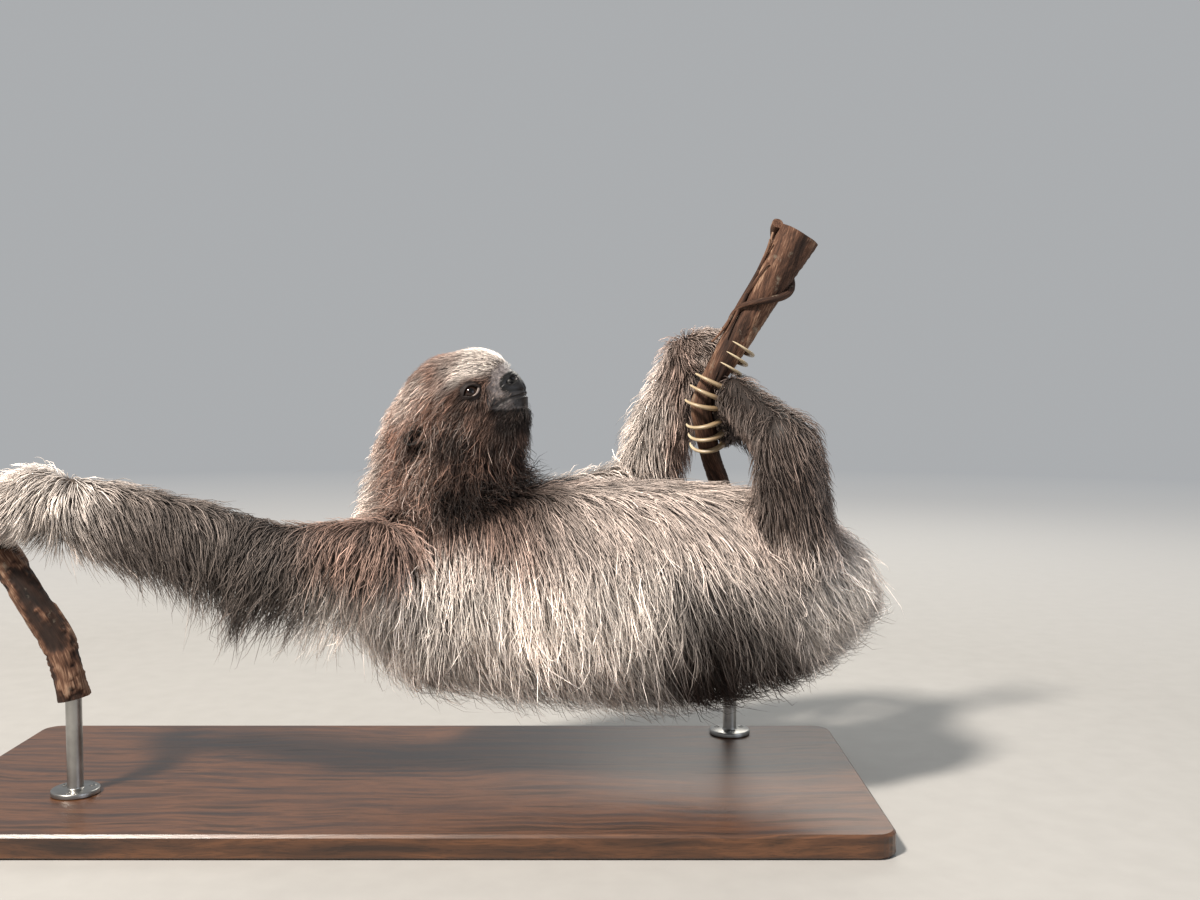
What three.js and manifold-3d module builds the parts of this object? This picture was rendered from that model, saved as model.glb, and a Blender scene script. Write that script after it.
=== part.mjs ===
// A three-toed sloth, life size, hanging belly up between two branches on a display stand.
// Millimetres, +Z up. The sloth's head lies toward -X and its rump toward +X. Its right side is -Y.
// The origin is the centre of the underside of the base board.
// The body is drawn as rounded lengths of limb, melted together, and their skin is the outline of the coat.

import * as THREE from "three";
import Module from "manifold-3d";
import { mergeVertices } from "three/addons/utils/BufferGeometryUtils.js";

const wasm = await Module();
wasm.setup();

const at = (x, y, z) => new THREE.Vector3(x, y, z);

// ---- driving dimensions -------------------------------------------------------------------------

const gap = 0.3; // between pieces that touch
const sliver = { trunk: 0.4, other: 0.12 }; // faces of a cut thinner than this are taken out
const cuttingBlock = 900; // side of the block that keeps one side of a cut, larger than the whole model
const probe = 0.5; // how far apart the distances are measured that give a surface's slope

const board = { length: 720, width: 280, height: 18, corner: 14, edge: 2 };
const rod = { radius: 6, flangeRadius: 18, flangeHeight: 4, intoPerch: 14 };

// Where the bones meet.
const right = {
  shoulder: at(-22, -64, 181),
  elbow: at(-142, -75, 208),
  wrist: at(-272, -59, 241),
  hip: at(300, -40, 209),
  knee: at(290, -58, 289),
  ankle: at(261, 8, 324),
};
const left = {
  shoulder: at(50, 60, 206),
  elbow: at(187, 100, 238),
  wrist: at(222, 64, 357),
  hip: at(313, 42, 200),
  knee: at(322, 86, 268),
  ankle: at(270, 52, 300),
};

// The head is laid out from the tip of the nose: ahead, up and to its own left.
const noseTip = at(91.8, -14, 331.9);
const headTurn = { pitch: 27, yaw: 15 }; // degrees: face lifted, and turned to the sloth's right

// The two branches, as points along their middles, from top to bottom, with their radii.
const perchLeft = {
  path: [at(-349, -40, 290), at(-325, -44, 232), at(-286, -48, 170), at(-262, -50, 128), at(-254, -50, 92)],
  topRadius: 12,
  bottomRadius: 12.5,
};
const perchRight = {
  path: [
    at(311, 16, 453), at(287, 18, 413), at(264, 20, 375), at(243, 20, 338), at(234, 23, 315),
    at(237, 30, 295), at(244, 50, 269), at(256, 80, 241), at(264, 104, 212), at(267, 114, 175),
  ],
  topRadius: 17,
  gripRadius: 9.5,
  bottomRadius: 9,
  slenderFrom: 0.4, // share of the path where the stem has thinned to its grip radius
};
// A stem grown round the top of the right branch. It sinks into the bark, and deeper towards its end.
const vine = { turns: 1.1, radius: 4.5, taper: 0.45, from: 0.004, until: 0.274, depth: 1.5, sinks: 4 };

// Each paw grips its branch at a share of the branch's path. side points from the branch to the palm.
const claw = {
  count: 3, spacing: 9.5, rootRadius: 3.5, tipRadius: 0.7, clearance: 1.4, bow: 1.5, steps: 7, sides: 5,
};
// The palm's middle stands this share of its radius off the branch. The fingers bend over the claws.
const palm = { off: 0.72 };
const fingers = { angle: 6, out: 7, spread: 0.75, thick: 0.62 };
const grips = {
  hand_right: { perch: perchLeft, share: 0.315, side: at(0.62, -0.74, 0.27), start: 28, sweep: 195 },
  hand_left: { perch: perchRight, share: 0.335, side: at(-0.5, 0.79, 0.35), start: 28, sweep: 200 },
  foot_right: { perch: perchRight, share: 0.44, side: at(0.86, 0.42, 0.2), start: 30, sweep: 190 },
  foot_left: { perch: perchRight, share: 0.54, side: at(0.8, 0.55, 0.2), start: 30, sweep: 185 },
};

const eye = { radius: 6, ahead: -34, up: 10.5, proud: 1.4 };
const ear = { ahead: -84, up: 0, height: 16, length: 13, thickness: 4, proud: 1.2, flare: 10 };
const ballSides = { round: 12, high: 8 };

const colour = {
  coat: 0xa08c74,
  face: 0x8c7560,
  muzzle: 0x3a3230,
  claw: 0x6b5a44,
  eye: 0x1c120c,
  bark: 0x6a4534,
  board: 0x4a3322,
  rod: 0x8a8a88,
};

// ---- solids -------------------------------------------------------------------------------------

// A rounded cone between two balls. wide stretches it along Y.
function length(a, b, startRadius, endRadius, wide = 1) {
  return { a, b, startRadius, endRadius, wide };
}

// The exact distance from a point to a rounded cone.
function distanceTo(form, x, y, z) {
  const { a, b, startRadius: r1, endRadius: r2, wide } = form;
  const bx = b.x - a.x;
  const by = (b.y - a.y) / wide;
  const bz = b.z - a.z;
  const px = x - a.x;
  const py = (y - a.y) / wide;
  const pz = z - a.z;
  const l2 = bx * bx + by * by + bz * bz;
  const taper = r1 - r2;
  const a2 = l2 - taper * taper;
  const along = px * bx + py * by + pz * bz;
  const beyond = along - l2;
  const ox = px * l2 - bx * along;
  const oy = py * l2 - by * along;
  const oz = pz * l2 - bz * along;
  const x2 = ox * ox + oy * oy + oz * oz;
  const y2 = along * along * l2;
  const z2 = beyond * beyond * l2;
  const k = Math.sign(taper) * taper * taper * x2;
  const shrink = Math.min(1, wide);
  if (Math.sign(beyond) * a2 * z2 > k) return shrink * (Math.sqrt(x2 + z2) / l2 - r2);
  if (Math.sign(along) * a2 * y2 < k) return shrink * (Math.sqrt(x2 + y2) / l2 - r1);
  return shrink * ((Math.sqrt((x2 * a2) / l2) + along * taper) / l2 - r1);
}

// The forms melted together: where two come closer than melt, a fillet fills the crease.
function meltedDistance(forms, melt, p) {
  let d = Infinity;
  for (const form of forms) {
    const e = distanceTo(form, p.x, p.y, p.z);
    const h = d === Infinity ? 0 : Math.max(melt - Math.abs(d - e), 0) / melt;
    d = Math.min(d, e) - (h * h * melt) / 4;
  }
  return d;
}

// Moves a point onto the surface of the melted forms, along the steepest way.
function ontoSurface(distance, p) {
  const slope = at(0, 0, 0);
  const q = at(0, 0, 0);
  for (let round = 0; round < 3; round++) {
    const d = distance(p);
    slope.set(
      distance(q.set(p.x + probe, p.y, p.z)) - distance(q.set(p.x - probe, p.y, p.z)),
      distance(q.set(p.x, p.y + probe, p.z)) - distance(q.set(p.x, p.y - probe, p.z)),
      distance(q.set(p.x, p.y, p.z + probe)) - distance(q.set(p.x, p.y, p.z - probe)),
    );
    const squared = slope.lengthSq() || 1;
    p.addScaledVector(slope, (-d * 2 * probe) / squared);
  }
}

// A closed mesh of the melted forms on a grid: one vertex in each cell that the surface crosses.
function surface(forms, melt, cell) {
  const distance = (p) => meltedDistance(forms, melt, p);
  const box = new THREE.Box3();
  for (const f of forms) {
    const reach = Math.max(f.startRadius, f.endRadius) * Math.max(1, f.wide) + melt / 2 + cell * 1.5;
    box.expandByPoint(f.a.clone().subScalar(reach));
    box.expandByPoint(f.a.clone().addScalar(reach));
    box.expandByPoint(f.b.clone().subScalar(reach));
    box.expandByPoint(f.b.clone().addScalar(reach));
  }
  const size = box.getSize(at(0, 0, 0));
  const nx = Math.ceil(size.x / cell) + 1;
  const ny = Math.ceil(size.y / cell) + 1;
  const nz = Math.ceil(size.z / cell) + 1;
  const index = (i, j, k) => (k * ny + j) * nx + i;
  const corner = (i, j, k) => at(box.min.x + i * cell, box.min.y + j * cell, box.min.z + k * cell);
  const value = new Float64Array(nx * ny * nz);
  for (let k = 0; k < nz; k++) {
    for (let j = 0; j < ny; j++) {
      for (let i = 0; i < nx; i++) value[index(i, j, k)] = distance(corner(i, j, k));
    }
  }

  const cellVertex = new Map();
  const points = [];
  const edges = [];
  for (let c = 0; c < 8; c++) {
    for (let axis = 1; axis < 8; axis *= 2) if (!(c & axis)) edges.push([c, c | axis]);
  }
  for (let k = 0; k < nz - 1; k++) {
    for (let j = 0; j < ny - 1; j++) {
      for (let i = 0; i < nx - 1; i++) {
        const middle = at(0, 0, 0);
        let crossings = 0;
        for (const [c, e] of edges) {
          const from = [i + (c & 1), j + ((c >> 1) & 1), k + ((c >> 2) & 1)];
          const to = [i + (e & 1), j + ((e >> 1) & 1), k + ((e >> 2) & 1)];
          const v0 = value[index(...from)];
          const v1 = value[index(...to)];
          if (v0 < 0 === v1 < 0) continue;
          middle.add(corner(...from).lerp(corner(...to), v0 / (v0 - v1)));
          crossings++;
        }
        if (!crossings) continue;
        middle.divideScalar(crossings);
        ontoSurface(distance, middle);
        cellVertex.set(index(i, j, k), points.length / 3);
        points.push(middle.x, middle.y, middle.z);
      }
    }
  }

  // Each grid edge that the surface crosses joins the four cells around it with two triangles.
  const triangles = [];
  const around = [
    [[0, 0, 0], [0, -1, 0], [0, -1, -1], [0, 0, -1]],
    [[0, 0, 0], [0, 0, -1], [-1, 0, -1], [-1, 0, 0]],
    [[0, 0, 0], [-1, 0, 0], [-1, -1, 0], [0, -1, 0]],
  ];
  const along = [[1, 0, 0], [0, 1, 0], [0, 0, 1]];
  for (let k = 1; k < nz - 1; k++) {
    for (let j = 1; j < ny - 1; j++) {
      for (let i = 1; i < nx - 1; i++) {
        for (let axis = 0; axis < 3; axis++) {
          const inside = value[index(i, j, k)] < 0;
          const [di, dj, dk] = along[axis];
          if (inside === value[index(i + di, j + dj, k + dk)] < 0) continue;
          const ring = around[axis].map(([a, b, c]) => cellVertex.get(index(i + a, j + b, k + c)));
          if (!inside) ring.reverse();
          const [p, q, r, s] = ring;
          triangles.push(p, q, r, p, r, s);
        }
      }
    }
  }
  const geometry = new THREE.BufferGeometry();
  geometry.setAttribute("position", new THREE.Float32BufferAttribute(points, 3));
  geometry.setIndex(triangles);
  return geometry;
}

// Only the places of the corners, with those that meet made one.
function merged(geometry) {
  const bare = geometry.clone();
  bare.deleteAttribute("normal");
  bare.deleteAttribute("uv");
  return mergeVertices(bare, 1e-4);
}

// The same mesh with every vertex pushed outward, for cutting a seat with a gap round a piece.
function swollen(geometry, by) {
  const fat = merged(geometry);
  fat.computeVertexNormals();
  const p = fat.attributes.position;
  const n = fat.attributes.normal;
  for (let i = 0; i < p.count; i++) {
    p.setXYZ(i, p.getX(i) + n.getX(i) * by, p.getY(i) + n.getY(i) * by, p.getZ(i) + n.getZ(i) * by);
  }
  return fat;
}

function solid(geometry) {
  const closed = merged(geometry);
  return new wasm.Manifold(
    new wasm.Mesh({
      numProp: 3,
      vertProperties: new Float32Array(closed.attributes.position.array),
      triVerts: new Uint32Array(closed.index.array),
    }),
  );
}

// A cut keeps what lies on the side of its plane that normal points to.
const beyond = (point, normal) => ({ point, normal: normal.clone().normalize() });
const before = (point, normal) => beyond(point, normal.clone().negate());

// The kept side of a cut as a block, set back from the plane.
function keptSide({ point, normal }, setBack) {
  const block = new THREE.BoxGeometry(cuttingBlock, cuttingBlock, cuttingBlock);
  block.translate(0, 0, cuttingBlock / 2 + setBack);
  block.applyQuaternion(new THREE.Quaternion().setFromUnitVectors(at(0, 0, 1), normal));
  block.translate(point.x, point.y, point.z);
  return solid(block);
}

const direction = (from, to) => to.clone().sub(from).normalize();
const between = (from, to, share) => from.clone().lerp(to, share);

// The plane that halves the bend at a joint.
const bend = (from, joint, to) => direction(from, joint).add(direction(joint, to)).normalize();

// A tube along a curve, its radius given at each share of the length, with flat ends.
function tube(curve, steps, sides, radiusAt) {
  const frames = curve.computeFrenetFrames(steps, false);
  const points = [];
  const triangles = [];
  for (let i = 0; i <= steps; i++) {
    const middle = curve.getPointAt(i / steps);
    const radius = radiusAt(i / steps);
    for (let j = 0; j < sides; j++) {
      const angle = (j / sides) * 2 * Math.PI;
      const p = middle.clone();
      p.addScaledVector(frames.normals[i], radius * Math.cos(angle));
      p.addScaledVector(frames.binormals[i], radius * Math.sin(angle));
      points.push(p.x, p.y, p.z);
    }
  }
  for (let i = 0; i < steps; i++) {
    for (let j = 0; j < sides; j++) {
      const a = i * sides + j;
      const b = i * sides + ((j + 1) % sides);
      triangles.push(a, b, b + sides, a, b + sides, a + sides);
    }
  }
  const last = steps * sides;
  for (let j = 1; j < sides - 1; j++) {
    triangles.push(0, j + 1, j);
    triangles.push(last, last + j, last + j + 1);
  }
  const geometry = new THREE.BufferGeometry();
  geometry.setAttribute("position", new THREE.Float32BufferAttribute(points, 3));
  geometry.setIndex(triangles);
  return geometry;
}

// ---- the coat's outline, part by part -----------------------------------------------------------

// The trunk hangs like a hammock, deep at the belly and rounding off at the rump.
const trunkForms = [
  length(at(13, 0, 168), at(118, 0, 169), 77, 86, 1.07),
  length(at(118, 0, 169), at(205, 0, 169), 86, 87, 1.07),
  length(at(205, 0, 169), at(270, 0, 171), 87, 76, 1.07),
  length(at(270, 0, 171), at(324, 0, 174), 76, 47, 1.07),
];
const tailForms = [length(at(338, 0, 172), at(361, 0, 166), 16, 12)];

const head = (ahead, up, side = 0) => {
  const pitch = THREE.MathUtils.degToRad(headTurn.pitch);
  const yaw = THREE.MathUtils.degToRad(headTurn.yaw);
  const forward = at(
    Math.cos(pitch) * Math.cos(yaw), -Math.cos(pitch) * Math.sin(yaw), Math.sin(pitch),
  );
  const upward = at(
    -Math.sin(pitch) * Math.cos(yaw), Math.sin(pitch) * Math.sin(yaw), Math.cos(pitch),
  );
  const sideward = upward.clone().cross(forward);
  return noseTip
    .clone()
    .addScaledVector(forward, ahead)
    .addScaledVector(upward, up)
    .addScaledVector(sideward, side);
};
const neckTop = at(38, 2, 296);
const neckForms = [
  length(neckTop, at(28, 0, 218), 54, 68, 0.84),
  length(at(-4, 0, 262), at(-6, 0, 226), 38, 44, 0.95),
  length(at(69, -8, 289), at(65, -3, 269), 28, 33.5, 0.84),
];
const headForms = [
  length(head(-66, 10), head(-86, -2), 40, 47, 1.06),
  length(head(-39, 18), head(-56, 14), 31, 39, 0.84),
];
const headMelt = 14;
const muzzleForms = [
  length(head(-32, 11), head(-18.2, 4), 24, 17, 0.9),
  length(head(-40, -15), head(-21.5, -10), 21, 17, 0.92),
];

// The arms are flat from side to side, because their long hair hangs.
const upperArmRight = [length(right.shoulder, at(-110, -69, 182), 56, 49, 0.68)];
const forearmRight = [
  length(at(-96, -70, 196), at(-152, -75, 213), 37, 38, 0.85),
  length(at(-152, -75, 213), at(-212, -69, 218), 38, 45, 0.78),
  length(at(-212, -69, 218), right.wrist, 45, 33, 0.8),
];
const upperArmLeft = [length(left.shoulder, left.elbow, 40, 37)];
const forearmLeft = [
  length(left.elbow, between(left.elbow, left.wrist, 0.6), 39, 36),
  length(between(left.elbow, left.wrist, 0.6), left.wrist, 36, 24),
];
const thighRight = [length(right.hip, right.knee, 40, 29)];
const shankRight = [length(right.knee, right.ankle, 28, 19)];
const thighLeft = [length(left.hip, left.knee, 40, 29)];
const shankLeft = [length(left.knee, left.ankle, 27, 18)];

// ---- perches, claws and paws --------------------------------------------------------------------

function perchRadius(perch, share) {
  if (perch.gripRadius === undefined) {
    return THREE.MathUtils.lerp(perch.topRadius, perch.bottomRadius, share);
  }
  if (share < perch.slenderFrom) {
    return THREE.MathUtils.lerp(perch.topRadius, perch.gripRadius, share / perch.slenderFrom);
  }
  const rest = (share - perch.slenderFrom) / (1 - perch.slenderFrom);
  return THREE.MathUtils.lerp(perch.gripRadius, perch.bottomRadius, rest);
}

const perchCurve = (perch) => new THREE.CatmullRomCurve3(perch.path, false, "centripetal");

function perchGeometry(perch, steps, extra = 0) {
  return tube(perchCurve(perch), steps, 8, (share) => perchRadius(perch, share) + extra);
}

// The vine lies in the surface of the branch, winding round it from its top.
class VineCurve extends THREE.Curve {
  getPoint(t) {
    const share = THREE.MathUtils.lerp(vine.from, vine.until, t);
    const curve = perchCurve(perchRight);
    const middle = curve.getPointAt(share);
    const tangent = curve.getTangentAt(share);
    const across = at(0, 1, 0).cross(tangent).normalize();
    const upward = tangent.clone().cross(across);
    const angle = vine.turns * 2 * Math.PI * t;
    const out = perchRadius(perchRight, share) + vine.radius - vine.depth - vine.sinks * t * t;
    return middle
      .addScaledVector(across, out * Math.cos(angle))
      .addScaledVector(upward, out * Math.sin(angle));
  }
}

// The place and directions at a grip, or at a claw shifted from it along the branch.
function gripFrame(grip, shift = 0) {
  const curve = perchCurve(grip.perch);
  const share = grip.share + shift / curve.getLength();
  const middle = curve.getPointAt(share);
  const axis = curve.getTangentAt(share);
  const side = grip.side.clone().addScaledVector(axis, -grip.side.dot(axis)).normalize();
  const across = axis.clone().cross(side);
  return { middle, axis, side, across, radius: perchRadius(grip.perch, share) };
}

// A claw is an arc round the branch, thick at its root and sharp at its tip.
class ClawCurve extends THREE.Curve {
  constructor(grip, number) {
    super();
    this.frame = gripFrame(grip, (number - (claw.count - 1) / 2) * claw.spacing);
    this.grip = grip;
  }
  getPoint(t) {
    const { middle, side, across, radius } = this.frame;
    const angle = THREE.MathUtils.degToRad(this.grip.start + t * this.grip.sweep);
    const out = radius + claw.rootRadius + claw.clearance + claw.bow * Math.sin(Math.PI * t);
    return middle
      .clone()
      .addScaledVector(side, out * Math.cos(angle))
      .addScaledVector(across, out * Math.sin(angle));
  }
}

function clawGeometry(grip, number, extra = 0) {
  const radiusAt = (t) => THREE.MathUtils.lerp(claw.rootRadius, claw.tipRadius, t ** 1.4) + extra;
  return tube(new ClawCurve(grip, number), claw.steps, claw.sides, radiusAt);
}

// A paw is the palm against the branch and the short fingers bent over the roots of the claws.
function pawForms(grip, wrist, wristRadius, palmRadius) {
  const { middle, side, across, radius, axis } = gripFrame(grip);
  const palmMiddle = middle.clone().addScaledVector(side, radius + palmRadius * palm.off);
  const angle = THREE.MathUtils.degToRad(grip.start + fingers.angle);
  const knuckle = middle
    .clone()
    .addScaledVector(side, (radius + fingers.out) * Math.cos(angle))
    .addScaledVector(across, (radius + fingers.out) * Math.sin(angle));
  const spread = claw.spacing * fingers.spread;
  const thick = palmRadius * fingers.thick;
  return [
    length(wrist, palmMiddle, wristRadius, palmRadius),
    length(
      knuckle.clone().addScaledVector(axis, -spread),
      knuckle.clone().addScaledVector(axis, spread),
      thick,
      thick,
    ),
  ];
}

const paws = {
  hand_right: pawForms(grips.hand_right, right.wrist, 31, 21),
  hand_left: pawForms(grips.hand_left, left.wrist, 23, 16),
  foot_right: pawForms(grips.foot_right, right.ankle, 18, 14.5),
  foot_left: pawForms(grips.foot_left, left.ankle, 17, 14.5),
};

// ---- the nodes ----------------------------------------------------------------------------------

const group = new THREE.Group();

function addNode(name, shape, tint, roughness = 0.9, metalness = 0) {
  const mesh = shape.getMesh();
  const geometry = new THREE.BufferGeometry();
  geometry.setAttribute("position", new THREE.Float32BufferAttribute(mesh.vertProperties, 3));
  geometry.setIndex(new THREE.Uint32BufferAttribute(mesh.triVerts, 1));
  geometry.computeVertexNormals();
  const material = new THREE.MeshStandardMaterial({ color: tint, roughness, metalness });
  const node = new THREE.Mesh(geometry, material);
  node.name = name;
  group.add(node);
}

// The largest body of a shape, without the crumbs and slivers that a cut can leave.
function mainBody(shape, thinnest) {
  return shape.simplify(thinnest).decompose().reduce((a, b) => (a.volume() > b.volume() ? a : b));
}

// One body part: its forms and its neighbours' melted together, between the cuts.
// The seat is a gap larger. The stump is what the first cut takes away, which stays on the trunk.
function bodyPart({ forms, melt, cell, cuts }) {
  const geometry = surface(forms, melt, cell);
  const whole = solid(geometry);
  const cut = (shape, setBack) =>
    cuts.reduce((rest, keep) => rest.intersect(keptSide(keep, setBack)), shape);
  const stump = () => whole.intersect(keptSide(before(cuts[0].point, cuts[0].normal), gap / 2));
  return { body: cut(whole, gap / 2), seat: cut(solid(swollen(geometry, gap * 2)), -gap / 2), stump };
}

const shoulderRightCut = at(-26, -64, 181);
const shoulderRightWay = at(-1, 0, 0.12);
const shoulderLeftCut = between(left.shoulder, left.elbow, 0.22);
const shoulderLeftWay = direction(left.shoulder, left.elbow);
const hipCut = { right: between(right.hip, right.knee, 0.3), left: between(left.hip, left.knee, 0.3) };
const neckBaseCut = at(27, 0, 247);
const neckBaseWay = at(-0.11, 0, 0.994);
const jawCut = at(40, 0, 288);
const jawWay = at(-0.17, 0, 0.985);
const muzzleCut = head(-28, 6);
const muzzleWay = direction(muzzleCut, head(-19.3, 1));

const tailRoot = between(tailForms[0].a, tailForms[0].b, 0.1);

const elbowWay = {
  right: bend(right.shoulder, right.elbow, right.wrist),
  left: bend(left.shoulder, left.elbow, left.wrist),
};
const kneeWay = {
  right: bend(right.hip, right.knee, right.ankle),
  left: bend(left.hip, left.knee, left.ankle),
};
const wristWay = { right: direction(right.elbow, right.wrist), left: direction(left.elbow, left.wrist) };
const ankleWay = { right: direction(right.knee, right.ankle), left: direction(left.knee, left.ankle) };

const parts = {
  upper_arm_right: bodyPart({
    forms: [...upperArmRight, ...forearmRight], melt: 14, cell: 27,
    cuts: [beyond(shoulderRightCut, shoulderRightWay), before(right.elbow, elbowWay.right)],
  }),
  forearm_right: bodyPart({
    forms: [...upperArmRight, ...forearmRight, ...paws.hand_right], melt: 14, cell: 22,
    cuts: [beyond(right.elbow, elbowWay.right), before(right.wrist, wristWay.right)],
  }),
  hand_right: bodyPart({
    forms: [...forearmRight, ...paws.hand_right], melt: 12, cell: 15,
    cuts: [beyond(right.wrist, wristWay.right)],
  }),
  upper_arm_left: bodyPart({
    forms: [...upperArmLeft, ...forearmLeft], melt: 12, cell: 25,
    cuts: [beyond(shoulderLeftCut, shoulderLeftWay), before(left.elbow, elbowWay.left)],
  }),
  forearm_left: bodyPart({
    forms: [...upperArmLeft, ...forearmLeft, ...paws.hand_left], melt: 12, cell: 22,
    cuts: [beyond(left.elbow, elbowWay.left), before(left.wrist, wristWay.left)],
  }),
  hand_left: bodyPart({
    forms: [...forearmLeft, ...paws.hand_left], melt: 10, cell: 12,
    cuts: [beyond(left.wrist, wristWay.left)],
  }),
  thigh_right: bodyPart({
    forms: [...thighRight, ...shankRight], melt: 12, cell: 22,
    cuts: [beyond(hipCut.right, at(0, -0.2, 1)), before(right.knee, kneeWay.right)],
  }),
  shank_right: bodyPart({
    forms: [...thighRight, ...shankRight, ...paws.foot_right], melt: 12, cell: 15,
    cuts: [beyond(right.knee, kneeWay.right), before(right.ankle, ankleWay.right)],
  }),
  foot_right: bodyPart({
    forms: [...shankRight, ...paws.foot_right], melt: 8, cell: 12,
    cuts: [beyond(right.ankle, ankleWay.right)],
  }),
  thigh_left: bodyPart({
    forms: [...thighLeft, ...shankLeft], melt: 12, cell: 22,
    cuts: [beyond(hipCut.left, at(0.1, 0.5, 1)), before(left.knee, kneeWay.left)],
  }),
  shank_left: bodyPart({
    forms: [...thighLeft, ...shankLeft, ...paws.foot_left], melt: 12, cell: 15,
    cuts: [beyond(left.knee, kneeWay.left), before(left.ankle, ankleWay.left)],
  }),
  foot_left: bodyPart({
    forms: [...shankLeft, ...paws.foot_left], melt: 8, cell: 12,
    cuts: [beyond(left.ankle, ankleWay.left)],
  }),
  neck: bodyPart({
    forms: [...neckForms, ...headForms], melt: 20, cell: 25,
    cuts: [beyond(neckBaseCut, neckBaseWay), before(jawCut, jawWay)],
  }),
  head: bodyPart({
    forms: [...headForms, ...neckForms, ...muzzleForms], melt: headMelt, cell: 15,
    cuts: [beyond(jawCut, jawWay), before(muzzleCut, muzzleWay)],
  }),
  muzzle: bodyPart({
    forms: [...headForms, ...neckForms, ...muzzleForms], melt: headMelt, cell: 7,
    cuts: [beyond(jawCut, jawWay), beyond(muzzleCut, muzzleWay)],
  }),
  tail: bodyPart({
    forms: tailForms, melt: 8, cell: 10,
    cuts: [beyond(tailRoot, direction(tailForms[0].a, tailForms[0].b))],
  }),
  trunk: bodyPart({ forms: trunkForms, melt: 24, cell: 36, cuts: [] }),
};
for (const limb of ["neck", "upper_arm_right", "upper_arm_left", "thigh_right", "thigh_left"]) {
  parts.trunk.body = parts.trunk.body.add(parts[limb].stump());
}

// Where a ray from the middle of the head leaves its coat.
function headSurface(ahead, up, side) {
  const forms = [...headForms, ...neckForms, ...muzzleForms];
  const step = 0.1;
  let out = 0;
  while (meltedDistance(forms, headMelt, head(ahead, up, side * out)) < 0) out += step;
  return out;
}

// An eyeball, and the socket that it looks out of.
function eyeBall(side) {
  const out = headSurface(eye.ahead, eye.up, side) + eye.proud - eye.radius;
  const middle = head(eye.ahead, eye.up, side * out);
  const ball = new THREE.SphereGeometry(eye.radius, ballSides.round, ballSides.high);
  ball.translate(middle.x, middle.y, middle.z);
  return { body: solid(ball), seat: solid(swollen(ball, gap * 2)) };
}

// An ear is a low round flap, nearly lost in the fur.
function earFlap(side) {
  const out = headSurface(ear.ahead, ear.up, side) + ear.proud;
  const middle = head(ear.ahead, ear.up, side * out);
  const flap = new THREE.SphereGeometry(0.5, ballSides.round, ballSides.high);
  flap.scale(ear.length, ear.thickness, ear.height);
  flap.rotateY(THREE.MathUtils.degToRad(-headTurn.pitch));
  flap.rotateZ(THREE.MathUtils.degToRad(-headTurn.yaw - side * ear.flare));
  flap.translate(middle.x, middle.y, middle.z);
  return { body: solid(flap), seat: solid(swollen(flap, gap * 2)) };
}

const sides = { right: -1, left: 1 };
for (const [name, side] of Object.entries(sides)) {
  parts[`eye_${name}`] = eyeBall(side);
  parts[`ear_${name}`] = earFlap(side);
}

const vineRadius = (t) => vine.radius * (1 - vine.taper * t);
const vineBody = (extra) => tube(new VineCurve(), 16, 5, (t) => vineRadius(t) + extra);
parts.perch_left = {
  body: solid(perchGeometry(perchLeft, 9)),
  seat: solid(perchGeometry(perchLeft, 9, gap)),
};
parts.perch_right = {
  body: solid(perchGeometry(perchRight, 16)).add(solid(vineBody(0))),
  seat: solid(perchGeometry(perchRight, 16, gap)).add(solid(vineBody(gap))),
};
for (const [paw, grip] of Object.entries(grips)) {
  for (let number = 0; number < claw.count; number++) {
    parts[`claw_${paw}_${number + 1}`] = {
      body: solid(clawGeometry(grip, number)),
      seat: solid(clawGeometry(grip, number, gap)),
    };
  }
}

// The stand: a board with a rod under each branch, let into the branch's lower end.
function boardGeometry() {
  const { length: long, width, height, corner, edge } = board;
  const outline = new THREE.Shape();
  const x = long / 2 - corner - edge;
  const y = width / 2 - corner - edge;
  outline.absarc(x, -y, corner, -Math.PI / 2, 0);
  outline.absarc(x, y, corner, 0, Math.PI / 2);
  outline.absarc(-x, y, corner, Math.PI / 2, Math.PI);
  outline.absarc(-x, -y, corner, Math.PI, 1.5 * Math.PI);
  const bevel = { bevelThickness: edge, bevelSize: edge, bevelSegments: 1 };
  const depth = height - 2 * edge;
  const shape = new THREE.ExtrudeGeometry(outline, { depth, curveSegments: 3, ...bevel });
  shape.translate(0, 0, edge);
  return shape;
}

function rodGeometry(perch, extra = 0) {
  const foot = perch.path.at(-1);
  const { radius, flangeRadius, flangeHeight, intoPerch } = rod;
  const bottom = board.height + gap - extra;
  const profile = [
    new THREE.Vector2(0, bottom),
    new THREE.Vector2(flangeRadius + extra, bottom),
    new THREE.Vector2(flangeRadius + extra, bottom + flangeHeight - 1),
    new THREE.Vector2(flangeRadius - 1, bottom + flangeHeight + extra),
    new THREE.Vector2(radius + extra, bottom + flangeHeight + 1 + extra),
    new THREE.Vector2(radius + extra, foot.z + intoPerch + extra),
    new THREE.Vector2(0, foot.z + intoPerch + extra),
  ];
  const shape = new THREE.LatheGeometry(profile, 14);
  shape.rotateX(Math.PI / 2);
  shape.translate(foot.x, foot.y, 0);
  return shape;
}

parts.stand_base = { body: solid(boardGeometry()) };
for (const [name, perch] of [["left", perchLeft], ["right", perchRight]]) {
  parts[`stand_rod_${name}`] = {
    body: solid(rodGeometry(perch)),
    seat: solid(rodGeometry(perch, gap)),
  };
}

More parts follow.
